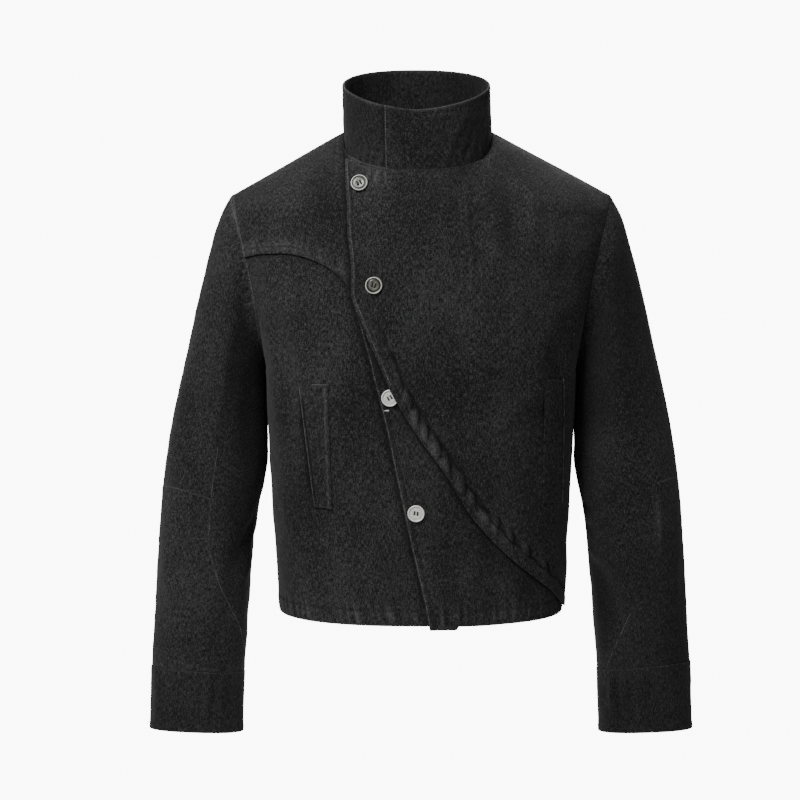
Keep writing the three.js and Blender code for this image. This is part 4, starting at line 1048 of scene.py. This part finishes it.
# The front seam as distance down and half turns, and the elbow seams as half turns and distance down.
# Creases are paths of half turns and distance down, with a width and a height. Lift is how much higher the
# cuff's seam is outside and inside the arm. The long seams are rubbed by low_wear from wear_from down and the
# elbow's two seams by elbow_wear; faded stitches show between the two shares of the front seam in rubbed.
SLEEVES = [
    {
        "side": -1, "name": "right", "seed": 100, "wear_from": 235, "low_wear": 0.32, "lift": (7, 0),
        "elbow_wear": (0.45, 0.3), "rubbed": (0.46, 0.99),
        "seam": [
            [0, 0.43], [60, 0.47], [160, 0.5], [300, 0.52],
            [375, 0.535], [430, 0.61], [503, 0.86], [549, 0.985],
        ],
        "elbow_top": [[-0.65, 322], [0, 336], [0.5, 322]],
        "elbow_end": [[-0.65, 378], [0, 405], [0.53, 376]],
        "creases": [
            ([(0.5, 20), (0.49, 120), (0.5, 300)], 8, 1.7),
            ([(0.36, 60), (0.33, 150), (0.35, 270)], 11, -1.3),
            ([(0.2, 130), (0.22, 220), (0.2, 310)], 12, 1.3),
            ([(0.93, 316), (0.82, 358), (0.69, 412)], 12, -3.0),
            ([(0.98, 372), (0.86, 412), (0.74, 450)], 11, 1.8),
            ([(1.12, 348), (0.98, 366), (0.9, 390)], 9, -1.4),
            ([(0.22, 400), (0.3, 450), (0.42, 520)], 12, 1.5),
            ([(0.75, 450), (0.66, 490), (0.62, 535)], 9, -1.4),
            ([(0.1, 350), (0.25, 372), (0.4, 366)], 10, 1.2),
            ([(1.5, 120), (1.62, 220), (1.6, 320)], 13, 2.2),
            ([(1.75, 150), (1.8, 250), (1.72, 330)], 13, -1.6),
            ([(1.3, 345), (1.5, 362), (1.7, 352)], 10, 1.8),
            ([(1.45, 430), (1.55, 480), (1.5, 530)], 12, -1.6),
            ([(0.9, 150), (0.96, 220), (0.98, 300)], 9, 1.6),
        ],
    },
    {
        "side": 1, "name": "left", "seed": 200, "wear_from": 455, "low_wear": 0.4, "lift": (13, 4),
        "elbow_wear": (0.8, 0.12), "rubbed": (0.86, 0.995),
        "seam": [
            [0, 0.43], [60, 0.44], [160, 0.42], [320, 0.37],
            [400, 0.37], [440, 0.47], [490, 0.64], [549, 0.83],
        ],
        "elbow_top": [[-0.65, 318], [0, 333], [0.2, 323], [0.4, 315]],
        "elbow_end": [[-0.65, 370], [0, 384], [0.4, 370]],
        "creases": [
            ([(0.46, 30), (0.47, 130), (0.5, 260)], 10, 1.4),
            ([(0.62, 60), (0.6, 160), (0.62, 270)], 11, -1.6),
            ([(0.3, 70), (0.3, 170), (0.28, 290)], 12, -1.2),
            ([(1.0, 300), (0.8, 318), (0.58, 318)], 9, -2.2),
            ([(1.05, 334), (0.85, 350), (0.66, 352)], 9, -1.9),
            ([(1.0, 372), (0.82, 392), (0.6, 402)], 9, 1.8),
            ([(0.37, 300), (0.36, 360), (0.38, 420)], 8, 2.0),
            ([(0.95, 380), (0.74, 440), (0.66, 490), (0.8, 540)], 17, -4.0),
            ([(0.14, 400), (0.2, 460), (0.26, 530)], 12, -1.2),
            ([(1.5, 110), (1.6, 210), (1.62, 310)], 13, 2.0),
            ([(1.75, 140), (1.78, 240), (1.7, 330)], 13, -1.6),
            ([(1.3, 340), (1.5, 356), (1.68, 348)], 10, 1.8),
            ([(1.42, 430), (1.5, 480), (1.52, 530)], 12, -1.6),
            ([(0.9, 140), (0.95, 220), (0.97, 290)], 9, 1.4),
        ],
    },
]


def armhole_edge(side):
    return side(np.ones(161), np.linspace(1, UNDERARM, 161))


front_edge, back_edge = armhole_edge(front), armhole_edge(back)


def half_ring(ring, face):
    _, out_x, out_z, in_x, in_z, depth, mid_y, tilt, square = ring
    p = 2 / square
    angle = np.linspace(0, math.pi, 241)
    c = signed_power(np.cos(angle), p)
    y = face * depth * np.maximum(np.sin(angle), 0) ** p
    x = (out_x + in_x) / 2 + (out_x - in_x) / 2 * c
    return np.stack([x, mid_y + y, (out_z + in_z) / 2 + (out_z - in_z) / 2 * c - tilt * y], axis=-1)


ring_halves = [(front_edge, back_edge)] + [(half_ring(ring, -1), half_ring(ring, 1)) for ring in SLEEVE_RINGS]
ring_downs = [0] + [ring[0] for ring in SLEEVE_RINGS]


def bare_sleeve(half, down):
    half, down = np.broadcast_arrays(np.asarray(half, float), np.asarray(down, float))
    shape, turn = half.shape, np.mod(half.ravel(), 2)
    rings = [np.where(turn[:, None] <= 1, along(a, turn), along(b, 2 - turn)) for a, b in ring_halves]
    return through(ring_downs, np.stack(rings), down.ravel()).reshape(shape + (3,))


def surface_normal(surface, half, down):
    around = surface(half + 0.01, down) - surface(half - 0.01, down)
    return unit(np.cross(around, surface(half, down + 1) - surface(half, np.maximum(down - 1, 0))))


def sleeve(half, down):
    """The left sleeve with its largest folds."""
    turn = np.mod(half, 2)
    depth = sum(
        height * np.exp(-(((turn - mid) / wide) ** 2) - ((down - at) / long) ** 2)
        for mid, at, wide, long, height in SLEEVE_FOLDS
    )
    fade = smooth((down - 5) / 60) * smooth((CUFF_SEAM - down) / 60)
    return bare_sleeve(half, down) + surface_normal(bare_sleeve, half, down) * (depth * fade)[..., None]


def table_line(table):
    return lambda x: through([row[0] for row in table], [row[1] for row in table], x)


def cuff_seam(facts, turn):
    """The distance down of the cuff's seam, which rises towards the outside of the arm."""
    outside = (1 + np.cos(np.pi * turn)) / 2
    return CUFF_SEAM - lerp(facts["lift"][1], facts["lift"][0], outside)


def sleeve_piece(node, facts, half, down, shift, thickness=DENIM, ring=False):
    """A piece of a sleeve from its grid of half turns and distance down, with the sleeve's creases."""
    flip = np.array([facts["side"], 1, 1])
    grain = np.stack([half * HALF_ROUND + shift, shift * 0.4 - down], axis=-1)
    places, normals = sleeve(half, down) * flip, surface_normal(sleeve, half, down) * flip
    cloth = Cloth(node, places, normals, grain, thickness, ring)
    near = smooth((down - 4) / 30) * smooth((CUFF_SEAM - 6 - down) / 25)
    # painted shade: the left sleeve is darker near the armhole, below the elbow and in a patch inside the
    # forearm
    if facts["side"] > 0:
        hidden = 0.42 * smooth((down - 320) / 110) + 0.42 * (1 - smooth((down - 90) / 130))
        inner = np.exp(-(((np.mod(half, 2) - 0.85) / 0.22) ** 2) - ((down - 470) / 75) ** 2)
        cloth.shade += np.maximum(hidden, 0.8 * inner)
    for path, width, height in facts["creases"]:
        for lap in (-2, 0):
            turned = [((turn + lap) * HALF_ROUND, at) for turn, at in path]
            cloth.out += crease(half * HALF_ROUND, down, turned, width, height) * near
    return cloth


def seam_marks(cloth, edge, seed, amount):
    cloth.pucker(edge, 0.35, 8, 10, 0.3, seed)
    cloth.wear(edge, 1, 0.4, 0.5, where=amount)


def long_seam_marks(cloth, down, facts, seed):
    amount = facts["low_wear"] * (0.15 + 0.85 * smooth((down - facts["wear_from"]) / 40))
    seam_marks(cloth, "left", seed, amount)
    seam_marks(cloth, "right", seed + 1, amount)


def armhole_marks(cloth, facts, seed):
    cloth.wear("low", 0.7 if facts["side"] < 0 else 0.2, 0.8, 1.6)
    cloth.pucker("low", 0.5, 10, 11, 0.2, seed)


for facts in SLEEVES:
    seed, elbow_wear = facts["seed"], facts["elbow_wear"]
    seam_turn = table_line(facts["seam"])
    elbow_top, elbow_end = table_line(facts["elbow_top"]), table_line(facts["elbow_end"])
    seam_share = SEAM_GAP / 2 / HALF_ROUND
    outer_pieces = [
        ("upper", lambda turn: SEAM_GAP + 0 * turn, elbow_top, 320, (0.24, 0.345), 0.067),
        ("elbow", elbow_top, elbow_end, 58, (0.22, 0.072), 0.0125),
        ("forearm", elbow_end, lambda turn: cuff_seam(facts, turn), 165, (0.235, 0.182), 0.0345),
    ]
    for label, first, last, length, flat, area in outer_pieces:
        s, t = grid(spaced(225, 2.6), spaced(length, 2.6))
        down = 200 + 0 * s
        for _ in range(8):
            half = lerp(UNDER_SEAM - 2 + seam_share, seam_turn(down) - seam_share, s)
            down = lerp(first(half) + SEAM_GAP / 2, last(half) - SEAM_GAP / 2, t)
        piece = sleeve_piece(f"{facts['name']}_sleeve_{label}", facts, half, down, seed * 7 + length)
        piece.uneven(0.4, seed + length)
        long_seam_marks(piece, down, facts, seed + length)
        if label == "upper":
            armhole_marks(piece, facts, seed + 1)
            seam_marks(piece, "high", seed + 2, elbow_wear[0])
        else:
            low_wear, high_wear = elbow_wear if label == "elbow" else (elbow_wear[1], CUFF_SEAM_WEAR)
            seam_marks(piece, "low", seed + 3, low_wear)
            seam_marks(piece, "high", seed + 4, high_wear)
        piece.make(flat, area)
    s, t = grid(spaced(170, 2.6), spaced(530, 2.7))
    down = lerp(SEAM_GAP, CUFF_SEAM, t)
    for _ in range(4):
        half = lerp(seam_turn(down) + seam_share, UNDER_SEAM - seam_share, s)
        down = lerp(SEAM_GAP, cuff_seam(facts, half) - SEAM_GAP / 2, t)
    piece = sleeve_piece(f"{facts['name']}_sleeve_front", facts, half, down, seed * 9)
    piece.uneven(0.4, seed + 5)
    long_seam_marks(piece, down, facts, seed + 6)
    armhole_marks(piece, facts, seed + 8)
    seam_marks(piece, "high", seed + 9, CUFF_SEAM_WEAR)
    piece.stitches("left", 0.7, *facts["rubbed"], True)
    if facts["side"] > 0:
        piece.wear("left", 0.25, 2, 5, np.exp(-(((down - 362) / 38) ** 2)))
    piece.make((0.18, 0.555), 0.06)

# Cuffs
# Plain closed bands of two layers, a little proud of the sleeve, stitched close to their lower edge.
CUFF_WALL = 2.2
CUFF_PROUD = 0.8
CUFF_STITCH = 6.0
HALF_CUFF = 0.75 * HALF_ROUND
CUFF_FOLDS = [
    ([(0.18, 2), (0.2, 30), (0.19, 64)], 8, 1.2),
    ([(0.42, 4), (0.4, 34), (0.43, 66)], 9, -1.2),
    ([(0.59, 0), (0.6, 30), (0.58, 60)], 5, 1.4),
    ([(0.65, 0), (0.66, 26), (0.64, 52)], 3.5, -1.9),
    ([(0.7, 0), (0.715, 26), (0.7, 50)], 4, 1.4),
    ([(0.82, 2), (0.8, 36), (0.84, 64)], 9, -1.2),
    ([(1.15, 2), (1.18, 32), (1.16, 64)], 10, 1.4),
    ([(1.45, 2), (1.42, 32), (1.46, 64)], 10, -1.4),
    ([(1.74, 2), (1.76, 32), (1.75, 64)], 10, 1.3),
]
for facts in SLEEVES:
    s, t = grid(np.linspace(0, 1, 161), spaced(66, 2.2))
    half = 2 * s
    down = lerp(cuff_seam(facts, half) + SEAM_GAP / 2, CUFF_END, t)
    seed = facts["seed"]
    cuff = sleeve_piece(f"{facts['name']}_cuff", facts, half, down, seed * 5, CUFF_WALL, True)
    cuff.out += CUFF_PROUD
    shift = 0.0 if facts["side"] < 0 else 0.07
    for path, width, height in CUFF_FOLDS:
        around = [((turn + shift) * HALF_CUFF, at) for turn, at in path]
        cuff.out += crease(half * HALF_CUFF, t * 66, around, width, height)
    cuff.uneven(0.3, seed + 20, 40)
    cuff.pucker("high", 0.55, 9, 9.5, 0.4, seed + 21)
    cuff.fold_band("high", CUFF_STITCH, 0.35)
    cuff.stitches("high", CUFF_STITCH)
    cuff.pucker("low", 0.45, 8, 10, 0.3, seed + 22)
    cuff.wear("high", 0.35)
    cuff.wear("low", 0.2)
    # both cuffs are darker all round, and the left one more, with painted shade
    cuff.darken(0.25 if facts["side"] < 0 else 0.42)
    cuff.make((0.29, 0.07), 0.0202)

# Sewing thread
# Charcoal thread, lockstitched at about three stitches a centimetre, sunk into the cloth at each end of a
# stitch, and rubbed pale along the front edge, the collar's end and the pockets' mouths.


def thread(name, dark, light):
    """Thread of two tones that drift along its twist."""
    material, tree, shader = new_material(name)
    ply = noise(tree, on_object(tree), (1500, 1500, 1500), 2.0, 0.5)
    drift = noise(tree, on_object(tree), (120, 120, 120), 1.0, 0.5)
    tone = ((drift - 0.5) * 3.0 + (ply - 0.5) * 1.5 + 0.45).clamped()
    mix(tree, tone, (dark, dark, dark, 1), (light, light, light * 0.99, 1)).feed(shader, "Base Color")
    relief(tree, shader, 0.4, 0.1 * MM, ply)
    shader.inputs["Roughness"].default_value = 0.75
    return material


charcoal_thread = thread("charcoal_thread", 0.005, 0.03)
faded_thread = thread("faded_thread", 0.02, 0.17)
THREAD_SIDES = 6


def mesh_object(name, verts, faces, edges=()):
    mesh = bpy.data.meshes.new(name)
    mesh.from_pydata(verts, edges, faces)
    mesh.shade_smooth()
    return put(name, mesh)


def circle(radius, sides):
    """Points of a circle."""
    turns = [2 * math.pi * k / sides for k in range(sides)]
    return [(radius * math.cos(turn), radius * math.sin(turn)) for turn in turns]


def tube_faces(first, rings, sides):
    """Faces of a tube of rings of points, closed at both ends."""
    faces = []
    for low in range(first, first + (rings - 1) * sides, sides):
        for k in range(sides):
            k2 = (k + 1) % sides
            faces.append((low + k, low + k2, low + sides + k2, low + sides + k))
    last = first + (rings - 1) * sides
    return faces + [tuple(range(first, first + sides))[::-1], tuple(range(last, last + sides))]


def one_stitch():
    """A short rounded length of thread, thin at both ends, along +Z."""
    rows = [(-1, 0.1), (-0.7, 0.85), (0, 1), (0.7, 0.85), (1, 0.1)]
    half_length, radius = 1.25 * MM, 0.27 * MM
    verts = [(x, y, half_length * at) for at, wide in rows for x, y in circle(radius * wide, THREAD_SIDES)]
    return mesh_object("one_stitch", verts, tube_faces(0, len(rows), THREAD_SIDES))


def seam_paths(lines):
    """All the lines of stitches as one mesh of edges."""
    verts, edges = [], []
    for line in lines:
        first = len(verts)
        verts += (line * MM).tolist()
        edges += [(first + k, first + k + 1) for k in range(len(line) - 1)]
    return mesh_object("seam_paths", verts, [], edges)


stitch = one_stitch()
stitching = bpy.data.node_groups.new("stitching", "GeometryNodeTree")
INPUTS = {
    "Geometry": "Geometry", "Stitch": "Object", "Stitch spacing": "Float", "Size variation": "Float",
    "Seed": "Int", "Thread": "Material",
}
for label, kind in INPUTS.items():
    stitching.interface.new_socket(label, in_out="INPUT", socket_type="NodeSocket" + kind)
stitching.interface.new_socket("Geometry", in_out="OUTPUT", socket_type="NodeSocketGeometry")
given = add_node(stitching, "NodeGroupInput")
curve = add_node(stitching, "GeometryNodeMeshToCurve", {}, {"Mesh": given.outputs["Geometry"]})
spots = add_node(stitching, "GeometryNodeCurveToPoints", {"mode": "LENGTH"}, {
    "Curve": curve.outputs[0], "Length": given.outputs["Stitch spacing"],
})
turned = add_node(stitching, "FunctionNodeAlignRotationToVector", {"axis": "Z"}, {
    "Vector": spots.outputs["Tangent"],
})
variation = Shade(stitching, given.outputs["Size variation"])
sizes = add_node(stitching, "FunctionNodeRandomValue", {"data_type": "FLOAT"}, {
    "Min": 1 - variation, "Max": 1 + variation, "Seed": given.outputs["Seed"],
})
shape = add_node(stitching, "GeometryNodeObjectInfo", {}, {"Object": given.outputs["Stitch"]})
sewn = add_node(stitching, "GeometryNodeInstanceOnPoints", {}, {
    "Points": spots.outputs["Points"], "Instance": shape.outputs["Geometry"],
    "Rotation": turned.outputs[0], "Scale": sizes.outputs[1],
})
real = add_node(stitching, "GeometryNodeRealizeInstances", {}, [sewn.outputs[0]])
coloured = add_node(stitching, "GeometryNodeSetMaterial", {}, {
    "Geometry": real.outputs[0], "Material": given.outputs["Thread"],
})
add_node(stitching, "NodeGroupOutput", {}, [coloured.outputs[0]])
for name, lines, material in (
    ("topstitching", seam_lines, charcoal_thread), ("rubbed_topstitching", faded_lines, faded_thread),
):
    paths = seam_paths(lines)
    modifier = paths.modifiers.new("stitching", "NODES")
    modifier.node_group = stitching
    settings = {
        "Stitch": stitch, "Stitch spacing": 3.1 * MM, "Size variation": 0.12, "Seed": 7, "Thread": material,
    }
    for item in stitching.interface.items_tree:
        if item.in_out == "INPUT" and item.name in settings:
            modifier[item.identifier] = settings[item.name]
    sewn_mesh = bpy.data.meshes.new_from_object(paths.evaluated_get(bpy.context.evaluated_depsgraph_get()))
    sewn_mesh.name = name
    paths.modifiers.remove(modifier)
    bpy.data.objects.remove(paths)
    row = put(name, sewn_mesh)
    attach(row, "root")
bpy.data.objects.remove(stitch)

# Buttons
# Four sew-through buttons, turned with a raised rim and four holes: the upper two smoky grey with a pale rim,
# the lower two pearly white. Two bars of dark thread hold each one; the flap half hides the third.
BUTTON_PROFILE = [
    (0, 0), (8.2, 0), (8.9, 0.25), (9.2, 0.8), (9.3, 1.5), (9.15, 2.15), (8.85, 2.5), (8.5, 2.6),
    (8.15, 2.45), (7.95, 2.1), (7.8, 1.7), (7.5, 1.4), (7.0, 1.3), (6.5, 1.42), (6.1, 1.62), (5.2, 1.7),
    (3.8, 1.6), (2.2, 1.4), (0, 1.35),
]
HOLE_RADIUS = 0.95
HOLE_SPOTS = [(-1.75, -1.6), (1.75, -1.6), (1.75, 1.6), (-1.75, 1.6)]
RIM_FROM = 7.85
RING_FROM = 5.8
BUTTON_SEAT = 0.3
UPRIGHT = 0.45  # a button hangs a little more upright than the cloth behind it


def turned_shape(name, profile, sides):
    """A closed shape turned about +Z from a profile that starts and ends on the axis."""
    verts = [(0, 0, profile[0][1])]
    for radius, height in profile[1:-1]:
        verts += [(x, y, height) for x, y in circle(radius, sides)]
    verts.append((0, 0, profile[-1][1]))
    faces = [(0, 1 + (k + 1) % sides, 1 + k) for k in range(sides)]
    faces += tube_faces(1, len(profile) - 2, sides)[:-2]
    first = 1 + (len(profile) - 3) * sides
    faces += [(first + k, first + (k + 1) % sides, len(verts) - 1) for k in range(sides)]
    return mesh_object(name, verts, faces)


def button_shape():
    """The turned disc with its four holes cut through."""
    disc = turned_shape("disc", BUTTON_PROFILE, 72)
    rim = [(0, -1), (HOLE_RADIUS, -1), (HOLE_RADIUS, 4), (0, 4)]
    drills = [turned_shape("drill", rim, 18) for _ in HOLE_SPOTS]
    for drill, (x, y) in zip(drills, HOLE_SPOTS):
        drill.data.transform(Matrix.Translation((x, y, 0)))
        cut = disc.modifiers.new("hole", "BOOLEAN")
        cut.object = drill
        cut.operation = "DIFFERENCE"
        cut.solver = "EXACT"
    mesh = bpy.data.meshes.new_from_object(disc.evaluated_get(bpy.context.evaluated_depsgraph_get()))
    for maker in drills + [disc]:
        bpy.data.objects.remove(maker)
    return mesh


def button_material(name, face, deep, rim, gloss):
    """A button's face with drifting tones, and a rim of its own, told apart by a mark on the mesh."""
    material, tree, shader = new_material(name)
    drift = noise(tree, on_object(tree), (260, 260, 260), 3.0, 0.6)
    swirl = noise(tree, on_object(tree), (900, 900, 900), 2.0, 0.6)
    tone = ((drift - 0.5) * 1.8 + (swirl - 0.5) * 0.8 + 0.5).clamped()
    face_colour = mix(tree, (tone - painted(tree, "ring")).clamped(), deep, face)
    mix(tree, painted(tree, "rim"), face_colour, rim).feed(shader, "Base Color")
    (tone * -0.12 + gloss).feed(shader, "Roughness")
    relief(tree, shader, 0.2, 0.2 * MM, swirl)
    shader.inputs["Coat Weight"].default_value = 0.25
    return material


def strands(name, twist, dark, light, roughness):
    """Bundled thread of two tones."""
    material, tree, shader = new_material(name)
    tone = noise(tree, on_object(tree), (twist, twist, twist), 2.0, 0.5)
    mix(tree, tone, dark, light).feed(shader, "Base Color")
    shader.inputs["Roughness"].default_value = roughness
    return material


smoke = button_material(
    "smoky_button", (0.19, 0.19, 0.155, 1), (0.012, 0.012, 0.01, 1), (0.52, 0.52, 0.47, 1), 0.42
)
pearl = button_material(
    "pearl_button", (0.8, 0.79, 0.76, 1), (0.52, 0.51, 0.49, 1), (0.86, 0.85, 0.83, 1), 0.34
)
dark_thread = strands("black_thread", 2200, (0.004, 0.004, 0.004, 1), (0.02, 0.02, 0.02, 1), 0.8)
BUTTONS = [
    ("button_1", -67.5, -57, "upper", smoke, "smoke_button", 25),
    ("button_2", -52, -165, "upper", smoke, "smoke_button", -18),
    ("button_3", -35, -287, "lower", pearl, "pearl_button", 30),
    ("button_4", -6.4, -414.5, "lower", pearl, "pearl_button", -8),
]
disc_mesh = button_shape()
STRAND_RADIUS = 0.28


def thread_bar(first, last, height):
    """Four strands of thread side by side, over the bridge between two holes."""
    verts, faces, rows = [], [], 13
    way = np.array(last) - np.array(first)
    across = np.array([-way[1], way[0]]) / np.hypot(*way)
    for beside, above in [(-0.6, 0), (-0.2, 0.14), (0.2, 0.12), (0.6, 0)]:
        start = len(verts)
        for r in range(rows):
            share = r / (rows - 1)
            middle = np.array(first) + way * lerp(-0.06, 1.06, share) + across * beside
            level = height + above + 0.5 * math.sin(math.pi * share) ** 0.5 - 1.6 * abs(2 * share - 1) ** 8
            for aside, up in circle(STRAND_RADIUS, THREAD_SIDES):
                verts.append((*(middle + across * aside), level + up))
        faces += tube_faces(start, rows, THREAD_SIDES)
    return verts, faces


def outward_faces(mesh):
    work = bmesh.new()
    work.from_mesh(mesh)
    bmesh.ops.recalc_face_normals(work, faces=work.faces)
    work.to_mesh(mesh)
    work.free()


for name, x, z, layer, material, slot, turn in BUTTONS:
    a, v = locate([[x, z]])
    out = LAP_STEP * (under_flap(a, v) + (flap_step(a, v) if layer == "upper" else 0)) + BUTTON_SEAT
    normal = body_normal(front, a, v)
    spot = (body_place(front, a, v) + normal * out[:, None])[0]
    upright = unit(lerp(normal, [[0, -1, 0]], UPRIGHT))
    spot += normal[0] * 4.5 * np.linalg.norm(np.cross(normal[0], upright[0]))
    lie = Vector(upright[0]).to_track_quat("Z", "Y").to_matrix().to_4x4()
    turned = lie @ Matrix.Rotation(math.radians(turn), 4, "Z")
    set_down = Matrix.Scale(MM, 4) @ Matrix.Translation(spot) @ turned
    mesh = disc_mesh.copy()
    mesh.name = name + "_disc"
    radii = np.array([math.hypot(vert.co[0], vert.co[1]) for vert in mesh.vertices])
    ring = smooth((radii - RING_FROM) / 0.8) * (1.2 if material is smoke else 0.3)
    for label, values in (("rim", smooth((radii - RIM_FROM) / 0.3)), ("ring", ring)):
        mesh.attributes.new(label, "FLOAT", "POINT").data.foreach_set("value", values)
    mesh.transform(set_down)
    mesh.shade_smooth()
    mesh.materials.clear()
    mesh.materials.append(material)
    outward_faces(mesh)
    disc = put(mesh.name, mesh)
    verts, faces = [], []
    for first, last in ((0, 3), (1, 2)):
        bar_verts, bar_faces = thread_bar(HOLE_SPOTS[first], HOLE_SPOTS[last], 1.35)
        faces += [tuple(k + len(verts) for k in face) for face in bar_faces]
        verts += bar_verts
    bars = mesh_object(name + "_thread", verts, faces)
    bars.data.transform(set_down)
    bars.data.materials.append(dark_thread)
    outward_faces(bars.data)
    for piece in (disc, bars):
        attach(piece, "root")
    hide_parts(name)

# Buttonholes and a bar tack
# Slots worked in thread: one beside the half hidden button, and a short white bar tack below it.
white_thread = strands("white_thread", 1800, (0.45, 0.45, 0.44, 1), (0.8, 0.8, 0.79, 1), 0.7)
DIPS = [(0, 0.45), (0.15, 0.05), (0.5, -0.08), (0.85, 0.05), (1, 0.45)]


def sewn_bar(name, start, end, count, width, radius, lift, material):
    """Short threads side by side across a line on the front."""
    verts, faces = [], []
    start, end = np.array(start, float), np.array(end, float)
    way = (end - start) / np.hypot(*(end - start))
    across = np.array([-way[1], way[0]])
    for n in range(count):
        middle = lerp(start, end, (n + 0.5) / count)
        low, high = middle - across * width / 2, middle + across * width / 2
        a, v = locate([low, high])
        out = LAP_STEP * under_flap(a, v) + lift
        ends = front(a, v) + body_normal(front, a, v) * out[:, None]
        axis = (ends[1] - ends[0]) / np.linalg.norm(ends[1] - ends[0])
        normal = body_normal(front, a, v)[0]
        side = np.cross(axis, normal)
        faces += tube_faces(len(verts), len(DIPS), THREAD_SIDES)
        for share, dip in DIPS:
            centre = lerp(ends[0], ends[1], share) - normal * dip
            verts += [tuple((centre + side * x + normal * y) * MM) for x, y in circle(radius, THREAD_SIDES)]
    bar = mesh_object(name, verts, faces)
    bar.data.materials.append(material)
    outward_faces(bar.data)
    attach(bar, "root")


sewn_bar("bar_tack", (-41.5, -301), (-36, -301), 10, 1.6, 0.3, 0.15, white_thread)
sewn_bar("buttonhole", (-50.5, -277.5), (-41, -277.5), 26, 2.2, 0.24, 0.1, charcoal_thread)

# Floor and light
# A pale floor well below the hanging jacket, and soft light from the front, above and both sides.
bpy.ops.mesh.primitive_cylinder_add(vertices=128, radius=1.1, depth=0.02, location=(0, 0, -1.2))
floor = bpy.context.object
floor.name = "floor"
floor_material, tree, shader = new_material("pale_floor")
shader.inputs["Base Color"].default_value = (0.93, 0.93, 0.93, 1)
shader.inputs["Roughness"].default_value = 0.9
floor.data.materials.append(floor_material)
LIT_MIDDLE = Vector((0, 0, -0.3))
LIGHTS = [
    ("front_softbox", (-1.15, -1.75, 1.75), 1.1, 92),
    ("left_softbox", (2.6, -1.8, 1.2), 1.2, 6),
    ("right_softbox", (-2.7, -0.8, 0.6), 1.2, 9),
    ("overhead", (0.1, 0.6, 2.2), 1.6, 15),
    ("back_softbox", (0.4, 2.8, 0.9), 1.4, 60),
]
for name, spot, width, power in LIGHTS:
    lamp = bpy.data.lights.new(name, "AREA")
    lamp.size = width
    lamp.energy = power
    light = put(name, lamp)
    light.location = spot
    light.rotation_euler = (LIT_MIDDLE - Vector(spot)).to_track_quat("-Z", "Y").to_euler()
world = bpy.data.worlds.new("studio")
bpy.context.scene.world = world
world.use_nodes = True
sky = world.node_tree.nodes["Background"]
sky.inputs["Color"].default_value = (1, 1, 1, 1)
seen = Shade(world.node_tree, add_node(world.node_tree, "ShaderNodeLightPath").outputs["Is Camera Ray"])
(seen * 9.75 + 0.25).feed(sky, "Strength")
